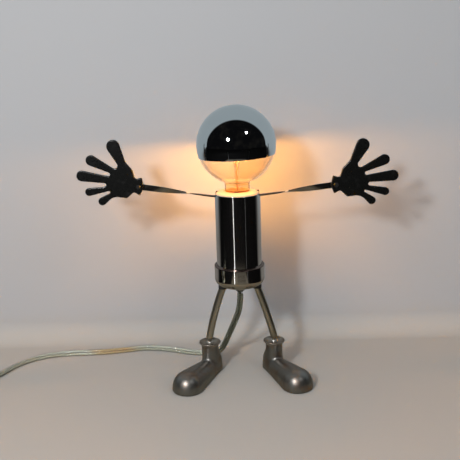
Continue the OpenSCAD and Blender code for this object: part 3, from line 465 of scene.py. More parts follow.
def clearSleeve(name):
    # soft clear vinyl with a green cast, with painted shade at its edges and where it hangs
    p = Paint(name)
    haze = p.noise(p.coords(), 240, 3)
    u, v, w = p.parts(p.coords((1, 1, 1), "UV"))
    clear = p.mix(haze, (0.93, 0.96, 0.90), (0.86, 0.90, 0.82))
    # painted shade: darker where the flex hangs, and darkest where the surface turns away
    hangingShade = p.spread(u, 130, 95)
    edge = p.facing(0.35, 0.85)
    p.set(Base_Color=p.mix(edge * 0.9, p.mix(hangingShade, clear, (0.32, 0.34, 0.28)), (0.06, 0.07, 0.045)),
          Roughness=0.05 + haze * 0.06, Transmission_Weight=1.0, IOR=1.5)
    p.bump(haze, 0.05, 0.0003)
    return p.material


def strandedWire(name, tone):
    # fine strands laid with a long twist, drawn on the core's own map
    p = Paint(name)
    u, v, w = p.parts(p.coords((1, 1, 1), "UV"))
    slant = p.add("CombineXYZ", {}, {0: u * 0.22 + v * 9.0}).out()
    twist = p.add("TexWave", {"wave_type": "BANDS", "bands_direction": "X"}, {
        "Vector": slant, "Scale": 0.32, "Distortion": 0.0}).out("Fac")
    bared = p.spread(u, 230, 252) * p.spread(u, 308, 288)  # where the copper shows most
    shown = p.mix(bared * 0.9, tone, (0.93, 0.66, 0.36))
    p.set(Base_Color=p.mix(twist, p.mix(0.55, shown, (0, 0, 0)), shown), Metallic=0.6,
          Roughness=0.24 + twist * 0.1)
    p.bump(twist, 0.5, 0.0002)
    return p.material


route = flexRoute()
path, wide, thin = flexFrame(route)
angle = fullTurn(32)
# two round strands that touch, in polar form: the root of (thick cos a)^2 + (web sin a)^4
waist = np.sqrt((flex["thick"] * np.cos(angle)) ** 2 + (flex["web"] * np.sin(angle)) ** 4)
waist = np.clip(waist, 0.0, flex["width"] / 2)
sleeveSection = joined(waist * np.cos(angle), waist * np.sin(angle))
powerCord = makePiece("powerCord", [poled(carried(path, wide, thin, sleeveSection))], "lamp",
                      clearSleeve("clearSleeve"), ("flex_lead", "flex_tail", "flex_coil", "flex_end"))
coreSection = joined(np.cos(angle[::3]), np.sin(angle[::3])) * flex["core"]
coreParts = []
for name, (side, tone) in flex["cores"].items():
    middle = path + side * flex["thick"] / 2 * wide
    core = poled(carried(middle[1:-1], wide[1:-1], thin[1:-1], coreSection))
    coreParts.append(makePiece(name, [core], "lamp", strandedWire(name + "Wire", tone)))
print("flex laid")


def dressNode(names, finish):
    # a finish for CAD nodes that stay as they are
    for name in names:
        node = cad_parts[name]
        node.data.materials.clear()
        node.data.materials.append(finish)


blackPlastic = mouldedPlastic("blackPlastic", (0.016, 0.016, 0.017))
whitePlastic = mouldedPlastic("whitePlastic", (0.72, 0.71, 0.68), 0.3)
tieRubber = softRubber("tieRubber")
brassFinish = plainMetal("brassFinish", (0.80, 0.58, 0.26))
nickelFinish = plainMetal("nickelFinish", (0.74, 0.72, 0.68), 0.2)
dressNode(["switch_base", "switch_cover", "plug_body"], blackPlastic)
dressNode(["switch_rocker"], whitePlastic)
dressNode(["flex_tie", "flex_bushing"], tieRubber)
dressNode(["plug_blades", "switch_contacts", "switch_screws", "centre_contact", "terminal_screws",
           "screw_shell", "stem_nuts"], brassFinish)
dressNode(["inner_flex"], mouldedPlastic("innerFlexPlastic", (0.70, 0.72, 0.66), 0.25))

((path + stand) * mm).tolist()


torso = {
    "radius": 27.7, "wall": 1.2, "low": 126.0, "rim": 234.0, "edge": 0.3, "straight": 0.7,
    "rows": (140, 180, 220), "notchHalf": 7.0, "notchFloor": 229.95,
}


def tubeGrid():
    # the section of the wall, a rounded bar, carried round; its top drops to the notch floor on both sides
    radius, edge, low, rim = torso["radius"], torso["edge"], torso["low"], torso["rim"]
    outer, inner, half = radius - edge, radius - torso["wall"] + edge, torso["notchHalf"]
    heights = [low + torso["straight"], *torso["rows"], rim - torso["straight"]]
    section = np.vstack([
        arc((outer, low + edge), edge, -90, 0, 4), [[radius, z] for z in heights],
        arc((outer, rim - edge), edge, 0, 90, 5), arc((inner, rim - edge), edge, 90, 180, 5),
        arc((inner, low + edge), edge, 180, 270, 4)])
    step, fine = np.degrees(np.arcsin(half / radius)), 8
    quarter = np.concatenate([np.linspace(0, step, fine), np.linspace(step, 90, 28)])
    angles = np.radians(np.concatenate([quarter, 180 - quarter[::-1], 180 + quarter, 360 - quarter[::-1]]))
    within = np.arange(len(quarter)) < fine
    inNotch = np.concatenate([within, within[::-1], within, within[::-1]])
    r, z = section[:, :1] + 0 * angles, section[:, 1:] + 0 * angles
    z = np.where(inNotch & (z > torso["notchFloor"]), torso["notchFloor"] - (rim - z), z)
    # the notch walls are flat, so an edge column keeps its distance from the middle plane
    lift = np.arcsin(np.clip(half / r, 0, 1))
    flank = np.isclose(np.abs(np.sin(angles)), half / radius)
    level = np.where(np.cos(angles) > 0, lift, np.pi - lift) * np.sign(np.sin(angles))
    a = np.where(flank, level, angles)
    return joined(r * np.cos(a), r * np.sin(a), z)


def turnedChrome(name):
    # bright plating over faint marks that run round the tube
    p = Paint(name)
    ring = p.noise(p.coords((0.02, 0.02, 1)), 900, 3)
    cloud = p.spread(p.noise(p.coords(), 26, 3), 0.45, 0.75)
    p.set(Base_Color=p.mix(cloud, (0.70, 0.685, 0.66), (0.62, 0.60, 0.57)), Metallic=1.0,
          Roughness=0.07 + ring * 0.02 + cloud * 0.02, Anisotropic=0.6, Anisotropic_Rotation=0.25)
    return p.material


chrome = polishedChrome("torsoChrome")
torsoTube = makePiece("torsoTube", [tubeGrid()], "lamp", turnedChrome("turnedChrome"),
                      ("body_tube",), loop=True)


cup = {
    "radius": 30.9, "low": 118.0, "height": 26.5, "round": 9.5, "lip": 0.9, "straight": 0.4,
    "bore": 6.05, "flat": 14.0, "floor": 2.0, "ledge": 8.0, "seat": 24.5, "inside": 27.75, "mouth": 28.1,
    "bevel": 0.35,
    # heights of the painted shade at the lip and under the rounded corner
    "lipShadeFrom": 0.1430, "lipShadeTo": 0.1437, "underShadeFrom": 0.131, "underShadeTo": 0.124,  # metres, for the finish
}


def cupOutline():
    # flat bottom, round lower corner, upright wall, small round lip, and the seat for the tube inside
    r, low, corner, lip = cup["radius"], cup["low"], cup["round"], cup["lip"]
    top, floor, ledge = low + cup["height"], low + cup["floor"], low + cup["ledge"]
    return np.vstack([
        [[cup["bore"], low], [cup["flat"], low]], arc((r - corner, low + corner), corner, -90, 0, 18),
        [[r, low + corner + cup["straight"]], [r, top - lip - cup["straight"]]],
        arc((r - lip, top - lip), lip, 0, 90, 7),
        [[cup["mouth"], top], [cup["inside"], top - cup["bevel"]], [cup["inside"], ledge],
         [cup["seat"], ledge], [cup["seat"], floor], [cup["bore"], floor]]])


def cupChrome(name):
    # bright plating, with painted shade at the lip and under the rounded corner
    p = Paint(name)
    x, y, z = p.parts(p.coords())
    # painted shade at the lip and under the rounded corner
    lip = p.spread(z, cup["lipShadeFrom"], cup["lipShadeTo"])
    under = p.spread(z, cup["underShadeFrom"], cup["underShadeTo"])
    colour, rough = plating(p, 0.03)
    p.set(Base_Color=p.mix(lip, p.mix(under, colour, (0.44, 0.40, 0.34)), (0.20, 0.14, 0.12)), Metallic=1.0,
          Roughness=rough + lip * 0.15)
    return p.material


baseCup = makePiece("baseCup", [turned(cupOutline())], "lamp", cupChrome("cupChrome"),
                    ("base_cup",), loop=True)


bell = {
    "low": 111.5, "height": 6.5, "lowRadius": 7.2, "topRadius": 9.5, "lip": 1.0, "round": 0.7,
    "bore": 4.9, "seat": 6.05,
}


def bellOutline():
    # a waist that swells into the cup's underside: the radius grows as 1 - cos a, the height as sin a
    low, lip, corner, wide = bell["low"], bell["lip"], bell["round"], bell["topRadius"]
    top, slim = low + bell["height"], bell["lowRadius"]
    a = quarterTurn(12)
    side = joined(slim + (wide - slim) * (1 - np.cos(a)),
                     low + lip + (bell["height"] - 2 * lip) * np.sin(a))
    return np.vstack([
        [[bell["bore"], low]], arc((slim - corner, low + corner), corner, -90, 0, 5), side,
        [[wide, top], [bell["seat"], top], [bell["seat"], low + lip], [bell["bore"], low + lip]]])


makePiece("bellNut", [turned(bellOutline(), 96)], "lamp", chrome, ("bell_nut",), loop=True)
steelFinish = satinSteel("steelFinish", (0.42, 0.40, 0.36), 0.3)
dressNode(["shoulder_ring", "lampholder_entry"], nickelFinish)
dressNode(["hip_block", "threaded_stem"], steelFinish)
blackCoat = blackEnamel("blackCoat")
dressNode(["hip_rings", "leg_lock_screws", "shoulder_pins"], blackCoat)


posts = {"x": 25.2, "radius": 0.95, "low": 234.5, "top": 237.2, "round": 0.5}


def postOutline():
    # a plain pin with a rounded head
    r, low, top, corner = posts["radius"], posts["low"], posts["top"], posts["round"]
    head = arc((r - corner, top - corner), corner, 0, 80, 4)
    return np.vstack([[[0, low], [r, low], [r, top - 1.2 * corner]], head, [[0, top]]])


post = turned(postOutline(), 24)
makePiece("shoulderPosts", [placed(post, move=(side * posts["x"], 0, 0)) for side in (-1, 1)], "lamp",
          blackEnamel("postBlack", (0.006, 0.005, 0.005), 0.5))
dressNode(["left_ankle_bead", "right_ankle_bead"], plainMetal("beadSteel", (0.95, 0.93, 0.88), 0.3))
dressNode(["lampholder_body"], glazedPorcelain("porcelainGlaze"))
print("torso turned")


legs = {
    "hipZ": 118.0, "hipX": 20.0, "radius": 4.5, "tenon": 4.0, "tenonBevel": 0.6, "grip": 21.0,
    "ankleZ": 48.0, "endRadius": 4.6, "spigot": 2.5, "spigotBevel": 0.5, "spigotLow": 22.0,
    "left": {"hip": 21.5, "ankle": 11.0}, "right": {"hip": 19.5, "ankle": 14.5},
}


def legBend(lean):
    hip, ankle = math.radians(lean["hip"]), math.radians(lean["ankle"])
    bend = (legs["hipZ"] - legs["ankleZ"]) / (math.sin(hip) - math.sin(ankle))
    return hip, ankle, bend


def ankleX(lean):
    hip, ankle, bend = legBend(lean)
    return legs["hipX"] + bend * (math.cos(ankle) - math.cos(hip))


def legGrid(lean):
    # a round rod along one wide arc, with a thinner end up in the body and a ball end over its spigot
    hip, ankle, bend = legBend(lean)
    grip, tenon, ball, spigot = legs["grip"], legs["tenon"], legs["endRadius"], legs["spigot"]
    up = np.array([grip, grip - legs["tenonBevel"], 0.0])
    a = np.linspace(hip, ankle, 30)
    x = legs["hipX"] + bend * (np.cos(a) - np.cos(hip))
    z = legs["hipZ"] + bend * (np.sin(a) - np.sin(hip))
    b = np.linspace(0.25, np.arcsin(np.sqrt(1 - (spigot / ball) ** 2)), 9)
    tip = [legs["spigotLow"] + legs["spigotBevel"], legs["spigotLow"]]
    pathX = np.concatenate([legs["hipX"] - up * math.sin(hip), x, np.full(len(b) + len(tip), x[-1])])
    pathZ = np.concatenate([legs["hipZ"] + up * math.cos(hip), z, legs["ankleZ"] - ball * np.sin(b), tip])
    radius = np.concatenate([
        [tenon - legs["tenonBevel"], tenon, tenon], np.full(len(a), legs["radius"]), ball * np.cos(b),
        [spigot, spigot - legs["spigotBevel"]]])
    slope = np.concatenate([np.full(len(up), hip), a, np.linspace(ankle, 0, 4), np.zeros(7)])
    around = fullTurn(40)
    across = joined(np.cos(slope), 0, np.sin(slope))
    path = joined(pathX, 0, pathZ)
    ring = joined(np.cos(around), np.sin(around))[None] * radius[:, None, None]
    return poled(carried(path, across, np.tile([0.0, 1.0, 0.0], (len(path), 1)), ring))


rodFinish = satinSteel("rodFinish", (0.50, 0.47, 0.39), 0.24, (1, 1, 0.08))
for side in ("left", "right"):
    shape = placed(legGrid(legs[side]), mirrored=side == "left")
    makePiece(side + "LegRod", [shape], "lamp", rodFinish, (side + "_leg",))


shoe = {
    "toe": 56.0, "toeRadius": 19.5, "toeHeight": 23.0, "heel": 7.0, "heelRadius": 11.0, "heelHeight": 17.0,
    "base": 1.2, "shaft": 10.6, "neckLow": 15.0, "neck": 18.0, "cuff": 13.7, "top": 42.0, "flare": 5.8,
    "rim": 1.2, "lip": 0.6, "dishFloor": 6.0, "dish": 38.0, "dishDeep": 4.0, "bore": 2.55, "boreLow": 22.0,
    "boreBevel": 0.4, "power": 2.27, "crease": 3.7, "underEdge": 1.6,
    "pivot": (-15.0, 23.0), "bend": (15.0, 13.5),  # where the rays' line turns from upright to level
    "spineTop": 33.0, "spineLow": 23.4, "inside": (9.5, 8.0), "probe": 0.5,
    "left": 28.0, "right": 26.5,  # degrees that each one is turned out
}


def smoothLeast(a, b, reach):
    # the smaller of two values, blended where they are nearly the same
    h = np.clip(0.5 + 0.5 * (b - a) / reach, 0, 1)
    return b + (a - b) * h - reach * h * (1 - h)


def shoeField(p):
    # below zero inside: a pear-shaped foot with full round edges, joined to an ankle that leans on the heel
    x, y, z = p[..., 0], p[..., 1], p[..., 2]
    span = shoe["heel"] + shoe["toe"]
    slope = (shoe["toeRadius"] - shoe["heelRadius"]) / span
    t = np.clip((shoe["heel"] - y + np.abs(x) * slope / math.sqrt(1 - slope ** 2)) / span, 0, 1)
    wideAt = shoe["heelRadius"] + (shoe["toeRadius"] - shoe["heelRadius"]) * t
    highAt = shoe["heelHeight"] + (shoe["toeHeight"] - shoe["heelHeight"]) * t
    plan = np.hypot(x, y - (shoe["heel"] - span * t)) / wideAt
    rise = np.clip((z - shoe["base"]) / highAt, 0, None)
    power = shoe["power"]
    foot = ((plan ** power + rise ** power) ** (1 / power) - 1) * np.minimum(wideAt, highAt)
    climb = ease((z - shoe["neckLow"]) / shoe["neck"])
    back = shoe["heel"] * (1 - climb) + 1e-3
    heel = shoe["heelRadius"] + (shoe["shaft"] - shoe["heelRadius"]) * climb
    s = np.clip(y / back, 0, 1)
    ankle = np.hypot(x, y - back * s) - (shoe["shaft"] + (heel - shoe["shaft"]) * s)
    body = smoothLeast(foot, ankle, shoe["crease"])
    return -smoothLeast(-body, z - shoe["base"] + 0.4, shoe["underEdge"])


def shoeGrid():
    # rays from a line down the shaft and out along the foot, each as long as the field lets it be
    around = fullTurn(112)
    down = np.linspace(shoe["spineTop"], shoe["spineLow"], 6)
    turn = quarterTurn(26)
    (py, pz), toe = shoe["pivot"], -shoe["toe"]
    out = np.linspace(py, toe, 20)[1:]
    tip = quarterTurn(22)[1:-1]
    length = np.linspace(*shoe["bend"], len(turn))
    c = np.vstack([joined(0, 0, down),
                   joined(0, py + length * np.cos(turn), pz - length * np.sin(turn)),
                   joined(0, out, np.linspace(*shoe["inside"], len(out))),
                   np.tile([0.0, toe, shoe["inside"][1]], (len(tip), 1))])
    lean = np.concatenate([0 * down, turn, 0 * out + np.pi / 2, 0 * tip + np.pi / 2])
    ahead = np.concatenate([0 * down, 0 * turn, 0 * out, tip])
    v = joined(0, np.cos(lean), -np.sin(lean))
    inPlane = np.cos(around)[None, :, None] * [1.0, 0, 0] + np.sin(around)[None, :, None] * v[:, None]
    d = np.cos(ahead)[:, None, None] * inPlane + np.sin(ahead)[:, None, None] * [0.0, -1.0, 0.0]
    reach = np.arange(4.0, 90.0, shoe["probe"])  # the first step that leaves the metal, and the one before it
    outside = np.stack([shoeField(c[:, None] + r * d) > 0 for r in reach])
    high = reach[np.argmax(outside, axis=0)]
    low = high - shoe["probe"]
    for _ in range(36):  # halve the bracket round the surface
        mid = (low + high) / 2
        inside = shoeField(c[:, None] + mid[..., None] * d) < 0
        low, high = np.where(inside, mid, low), np.where(inside, high, mid)
    foot = c[:, None] + low[..., None] * d
    shaft, cuff, rim, lip = shoe["shaft"], shoe["cuff"], shoe["rim"], shoe["lip"]
    a = quarterTurn(14)
    flare = joined(shaft + (cuff - shaft) * (1 - np.cos(a)),
                      shoe["top"] - rim - shoe["flare"] * (1 - np.sin(a)))
    b = quarterTurn(12)
    dish = joined(shoe["dishFloor"] + (cuff - rim - shoe["dishFloor"]) * (1 - np.sin(b)),
                     shoe["dish"] + shoe["dishDeep"] * (1 - np.sin(b)) ** 2)
    bore, bevel = shoe["bore"], shoe["boreBevel"]
    upper = np.vstack([
        flare, arc((cuff - lip, shoe["top"] - lip), lip, 0, 180, 9), dish,
        [[bore + bevel, shoe["dish"]], [bore, shoe["dish"] - bevel], [bore, shoe["boreLow"]]]])
    return poled(np.concatenate([turned(upper[::-1], len(around)), foot]))


pewter = castPewter("castPewter")
shoeShape = shoeGrid()
for side, way in (("left", -1), ("right", 1)):
    shape = placed(shoeShape, way * shoe[side], (way * ankleX(legs[side]), 0, 0))
    makePiece(side + "ShoeCast", [shape], side + "_foot", pewter, (side + "_shoe",), sharp=50)
dressNode(["left_sole", "right_sole"], softRubber("soleRubber", (0.02, 0.019, 0.018)))
print("legs and shoes made")


arms = {
    "shoulder": 24.0, "bend": 30.7, "bendReach": 3.0, "z": 230.8, "reach": 119.0, "width": 7.4, "thick": 1.2,
    "eye": 3.9, "eyeReach": 4.0, "edge": 0.35, "twistStart": 8.0, "twistEnd": 9.0,
    "left": {"rise": 9.2, "turn": -90}, "right": {"rise": 6.4, "turn": 90},
    # a painted dark reflection inside the first pair, and a painted highlight between the other two
    "black": (0.060, 0.052), "glintFrom": (0.0555, 0.058), "glintTo": (0.063, 0.060),  # metres from the middle
}


def armGrid(rise, turn):
    # a flat strip with round ends: level at the shoulder, a soft bend, and a quarter turn on its way out
    eye, edge, soft = arms["eye"], arms["edge"], arms["bendReach"]
    back = arms["bend"] - arms["shoulder"]
    length = (arms["reach"] - arms["bend"]) / math.cos(math.radians(rise))
    endCap = eye * np.sin(np.linspace(-np.pi / 2, 0, 10))
    s = np.concatenate([endCap - back, np.linspace(-back, length, 150)[1:-1], length - endCap[::-1]])
    s[0], s[-1] = s[0] + 0.02, s[-1] - 0.02
    over = np.maximum(np.maximum(-back - s, s - length), 0)
    towards = np.minimum(np.abs(s + back), np.abs(s - length))
    halfWidth = np.where(over > 0, np.sqrt(np.maximum(eye ** 2 - over ** 2, 0.01)),
                         np.where(towards < arms["eyeReach"], eye, arms["width"] / 2))
    fine = np.linspace(s[0], s[-1], 4000)
    tilt = math.radians(rise) * ease((fine + soft) / (2 * soft))
    step = fine[1] - fine[0]
    x = np.concatenate([[0], np.cumsum(np.cos((tilt[1:] + tilt[:-1]) / 2) * step)])
    z = np.concatenate([[0], np.cumsum(np.sin((tilt[1:] + tilt[:-1]) / 2) * step)])
    x += arms["shoulder"] - np.interp(-back, fine, x)
    z += arms["z"] - np.interp(-back, fine, z)
    path = joined(np.interp(s, fine, x), 0, np.interp(s, fine, z))
    t = np.interp(s, fine, tilt)
    normal = joined(-np.sin(t), 0, np.cos(t))
    twist = length - arms["twistStart"] - arms["twistEnd"]
    a = np.radians(turn) * ease((s - arms["twistStart"]) / twist)[:, None]
    flat = np.array([0.0, 1.0, 0.0])
    across, through = flat * np.cos(a) - normal * np.sin(a), flat * np.sin(a) + normal * np.cos(a)
    bar = roundedBox(2.0, arms["thick"], edge)
    way = np.sign(bar[:, 0])
    u = way * (np.abs(bar[:, 0]) - (1 - edge))
    shift = np.maximum(halfWidth - edge, 0.02)[:, None] * way
    section = joined(u + shift, bar[:, 1] + 0 * shift)
    return poled(carried(path, across, through, section))


def stripSteel(name):
    # thin strip: a painted dark reflection towards the shoulder, a painted highlight where it twists, grey
    # steel beyond
    p = Paint(name)
    x, y, z = p.parts(p.coords())
    aside = p.apart(x)
    marks = p.noise(p.coords(), 900, 3)
    stain = p.spread(p.noise(p.coords(), 55, 3), 0.35, 0.7)
    # painted dark reflection towards the shoulder, and a painted highlight where the strip twists
    inner = p.spread(aside, *arms["black"])
    paintedGlint = p.spread(aside, *arms["glintFrom"]) * p.spread(aside, *arms["glintTo"])
    steel = p.mix(stain, (0.36, 0.345, 0.31), (0.28, 0.255, 0.205))
    p.set(Base_Color=p.mix(paintedGlint, p.mix(inner, steel, (0.022, 0.020, 0.018)), (0.45, 0.44, 0.41)),
          Metallic=1.0 - paintedGlint * 0.9, Roughness=0.15 + marks * 0.08 + inner * 0.2)
    p.bump(marks, 0.12, 0.0002)
    return p.material


armFinish = stripSteel("armFinish")
for side, turn in (("left", 180), ("right", 0)):
    makePiece(side + "ArmStrip", [placed(armGrid(**arms[side]), turn)], side + "_arm", armFinish,
              (side + "_arm",))


hand = {
    "front": -3.85, "back": -0.85, "middle": [-2.1, -2.6], "edge": 1.15, "ease": 0.15, "reach": 119.0,
    "tilt": {"left": 0.0, "right": -2.0},
    # circles that a belt runs round: middle and radius, below zero where the belt bends inwards
    "circles": [
        (-2.6, -9, 1), (3.6, -10.5, -3), (13.4, -12.6, 3), (22, -29.5, -14), (41.2, -23.3, 4.9),
        (34.4, -11, -1.4), (58, -13.8, 4.9), (40.6, -2.8, -2.1), (68.5, 4.6, 6.6), (37.4, 10.6, -2.2),
        (59.3, 24.7, 6.4), (31, 22.2, -3.6), (34.8, 44.8, 8), (10.8, 33.4, -9), (12.2, 17.2, 4),
        (3, 12.8, -3), (-2.6, 10.8, 0.9), (8, 0.4, 14)],
}


def belt(inset):
    # the arcs of a belt round the circles, all drawn in by the same distance
    circles = np.array(hand["circles"], float)
    x, y, r = circles[:, 0], circles[:, 1], circles[:, 2] - inset
    bulge = circles[:, 2] > 0
    dx, dy, dr = np.roll(x, -1) - x, np.roll(y, -1) - y, r - np.roll(r, -1)
    leaving = np.arctan2(dy, dx) - np.arccos(dr / np.hypot(dx, dy))
    arriving = np.roll(leaving, 1)
    sweep = leaving - arriving
    sweep = np.where(bulge, np.mod(sweep, 2 * np.pi), -np.mod(-sweep, 2 * np.pi))
    x, y, r = x[:, None], y[:, None], r[:, None]
    a = arriving[:, None] + sweep[:, None] * np.linspace(0, 1, 13)[None]
    return joined(x + r * np.cos(a), y + r * np.sin(a)).reshape(-1, 2)


def handGrid(rise, tilt):
    # a cut-out plate with round edges, stood up at the end of the arm
    edge, front, back = hand["edge"], hand["front"], hand["back"]
    b = quarterTurn(5)
    corner, side = edge * (1 - np.cos(b)), edge * (1 - np.sin(b))
    face = [edge + hand["ease"]]
    insets = np.concatenate([face, side, [0, 0], corner, face])
    depth = np.concatenate([[back], back - corner, hand["middle"], front + side, [front]])
    rows = np.stack([belt(i) for i in insets])
    u, v = rows[..., 0], rows[..., 1]
    a = math.radians(rise + tilt)
    wrist = arms["z"] + (hand["reach"] - arms["bend"]) * math.tan(math.radians(rise))
    x = hand["reach"] + u * math.cos(a) - v * math.sin(a)
    z = wrist + u * math.sin(a) + v * math.cos(a)
    return joined(x, depth[:, None], z)


handBlack = blackEnamel("handBlack", (0.003, 0.0032, 0.003), 0.24, 0.1)
for side in ("left", "right"):
    shape = placed(handGrid(arms[side]["rise"], hand["tilt"][side]), mirrored=side == "left")
    makePiece(side + "HandPlate", [shape], side + "_hand", handBlack, (side + "_hand",),
              flats=True)
dressNode(["left_wrist_rivet", "right_wrist_rivet"], blackCoat)
print("arms and hands cut")


bulb = {
    "z": 292.07, "glass": 47.3, "wall": 1.0, "neck": 15.2, "neckTop": 244.5, "neckLow": 238.0, "fillet": 4.0,
    "tuck": 12.7, "tuckLow": 227.65, "tuckTop": 232.25, "throat": (0.1, 0.4, 0.7, 1.6, 0.6),
    "coat": 47.5, "coatWall": 0.15, "mirrorDrop": 12.2, "coatTilt": 2.0,
    # heights of the finish in metres: the painted warm glow, the two painted dark lines, and where shadows
    # begin
    "glow": (0.300, 0.236), "lowShadeLine": ((0.2366, 0.2372), (0.2392, 0.2386)),
    "highShadeLine": ((0.2457, 0.2461), (0.2473, 0.2469)), "front": (0.014, 0.008), "shade": (0.247, 0.256),
}


def globeLine(inset, count=70):
    # from the tucked end up the neck, over a fillet and round the globe to its top
    neck, tuck, tuckTop, low = bulb["neck"], bulb["tuck"] - inset, bulb["tuckTop"], bulb["neckLow"]
    corner = (neck + bulb["fillet"], bulb["neckTop"])
    slant = math.degrees(math.atan2(bulb["z"] - corner[1], -corner[0]))
    globe = arc((0, bulb["z"]), bulb["glass"] - inset, slant - 180, 90, count)
    globe[-1, 0] = 0
    out, rise, slim, drop, lift = bulb["throat"]
    throat = np.array([
        [tuck + out, tuckTop + rise], [neck - slim - inset, low - drop], [neck - inset, low + lift]])
    return np.vstack([
        [[tuck, bulb["tuckLow"]], [tuck, tuckTop]], smoothRoute(throat, 5),
        arc(corner, bulb["fillet"] + inset, 180, slant, 9), globe[1:]])


def crownGrid():
    # a thin shell over the top of the globe, with its edge a little higher on the right
    edge = -math.degrees(math.asin(bulb["mirrorDrop"] / bulb["coat"]))
    middle, a = np.array([0, 0, bulb["z"]]), math.radians(bulb["coatTilt"])
    outer, inner = (arc(middle[1:], bulb["coat"] - wall, edge, 90, 80) for wall in (0, bulb["coatWall"]))
    outer[-1, 0] = inner[-1, 0] = 0
    tip = np.array([[math.cos(a), 0, math.sin(a)], [0, 1, 0], [-math.sin(a), 0, math.cos(a)]])
    return (turned(np.vstack([outer, inner[::-1]]), 160) - middle) @ tip + middle


def clearGlass(name, bands=0.0):
    # clear glass with a painted warm glow and tint low down, where the light is, and two painted dark lines
    # on the front of the neck
    p = Paint(name)
    place = p.coords()
    x, y, z = p.parts(place)
    low = p.spread(z, *bulb["glow"])
    front = p.spread(y, *bulb["front"])
    # two painted dark lines on the front of the neck: the shadow gap where the glass enters the mouth, and a
    # dark refraction line higher up
    lowShadeLine, highShadeLine = (p.spread(z, *bulb[k][0]) * p.spread(z, *bulb[k][1]) * front * bands
                         for k in ("lowShadeLine", "highShadeLine"))
    # painted warm glow: the low glass is tinted and lit warm where the bulb's light is
    tint = p.mix(low, (0.97, 0.95, 0.92), (1.0, 0.86, 0.66))
    tint = p.mix(lowShadeLine, p.mix(highShadeLine, tint, (0.85, 0.50, 0.24)), (0.60, 0.22, 0.06))
    p.set(Base_Color=tint, Roughness=0.01 + p.noise(place, 30, 2) * 0.01,
          Transmission_Weight=1.0, IOR=1.46, Emission_Color=p.mix(low, (0, 0, 0), (1.0, 0.50, 0.16)),
          Emission_Strength=0.03)
    # the fillet and neck bend most of the light away from what is under them, and the rim stays faint
    rim = p.facing(0.55, 0.9)
    shadow = p.add("LightPath").out("Is Shadow Ray")
    p.letThrough(shadow * p.spread(z, *bulb["shade"], 0.12, 1.0) + (1.0 - shadow) * rim * 0.85)
    return p.material


def mirrorCoat(name):
    p = Paint(name)
    haze = p.noise(p.coords(), 40, 3)
    p.set(Base_Color=p.mix(haze, (0.70, 0.74, 0.76), (0.66, 0.70, 0.72)), Metallic=1.0,
          Roughness=0.012 + haze * 0.02)
    return p.material


def glowingWire(name):
    p = Paint(name)
    fine = p.noise(p.coords(), 2500, 2)
    p.set(Base_Color=p.mix(fine, (1.0, 0.75, 0.4), (1.0, 0.62, 0.25)), Roughness=0.5,
          Emission_Color=p.mix(fine, (1.0, 0.72, 0.36), (1.0, 0.55, 0.2)), Emission_Strength=6.0)
    return p.material


globeWall = np.vstack([globeLine(0), globeLine(bulb["wall"])[::-1]])
makePiece("globeGlass", [turned(globeWall, 160)], "bulb", clearGlass("clearGlass", 1.0),
          ("bulb_glass",), loop=True)
makePiece("mirrorCrown", [crownGrid()], "bulb", mirrorCoat("mirrorCoat"),
          ("bulb_silver",), loop=True)


mount = {
    "rod": 2.6, "button": 3.4, "buttonZ": 268.07, "flare": 11.65, "flareZ": 227.65, "flareHigh": 9.0,
    "wireZ": 284.07, "wireX": 13.0, "turns": 26, "coil": 0.62, "sag": 2.2, "hook": 0.4,
    "filament": 0.16, "support": 0.3, "lead": 0.42, "leadTop": 279.0, "leadDrop": 42.0, "waver": (1.3, 0.5),
}


def wire(line, radius, hint):
    # a thin rod along a line, six sided, set square to a direction that the line never takes
    a = fullTurn(6)
    ahead = unit(np.gradient(line, axis=0))
    side = unit(np.cross(ahead, hint))
    return poled(carried(line, side, np.cross(ahead, side), radius * joined(np.cos(a), np.sin(a))))


def filamentGrids():
    # a fine spring between two supports, the two supports, and the lead that wavers down the stem
    t = np.linspace(0, 1, 560)
    a = 2 * np.pi * mount["turns"] * t
    x, z, coil = mount["wireX"], mount["wireZ"], mount["coil"]
    sag = mount["sag"] * np.sin(np.pi * t) ** 2
    spring = joined(x * (2 * t - 1), coil * np.cos(a), z - sag + coil * np.sin(a))
    s = np.linspace(0, 1, 24)
    start, hook = mount["button"], mount["hook"]
    out = start - hook + (x + hook - start) * s
    up = mount["buttonZ"] + (z - mount["buttonZ"]) * np.sqrt(s)
    supports = [joined(way * out, 0, up) for way in (-1, 1)]
    s = np.linspace(0, 1, 90)
    wide, deep = mount["waver"]
    lead = joined(wide * np.sin(22 * s) * (1 - s) ** 1.5, deep * np.cos(17 * s) * (1 - s),
                     mount["leadTop"] - mount["leadDrop"] * s)
    return [wire(spring, mount["filament"], [1.0, 0.02, 0]),
            *(wire(line, mount["support"], [0, 1.0, 0]) for line in supports),
            wire(lead, mount["lead"], [0, 1.0, 0])]


def stemOutline():
    # a flare that closes the neck, a rod, and the button that holds the wires
    rod, wide, low, button = mount["rod"], mount["flare"], mount["flareZ"], mount["button"]
    a = quarterTurn(14)
    flare = joined(rod + (wide - rod) * (1 - np.sin(a)),
                      low + 1 + mount["flareHigh"] * (1 - np.cos(a)))
    return np.vstack([[[0, low], [wide, low]], flare, arc((0, mount["buttonZ"]), button, -38, 88, 12),
                      [[0, mount["buttonZ"] + button]]])


makePiece("filamentStem", [turned(stemOutline(), 48)], "bulb", clearGlass("stemGlass"),
          ("bulb_stem",))
filamentParts = filamentGrids()
makePiece("glowingFilament", filamentParts[:1], "bulb", glowingWire("glowingWire"),
          ("bulb_filament",))
makePiece("filamentSupports", filamentParts[1:], "bulb",
          plainMetal("supportWire", (0.34, 0.16, 0.07), 0.5))
dressNode(["bulb_cap"], nickelFinish)
dressNode(["bulb_contact"], plainMetal("solderFinish", (0.6, 0.6, 0.58), 0.35))
dressNode(["bulb_insulator"], blackEnamel("blackVitrite", (0.02, 0.018, 0.025), 0.15))
print("bulb blown")


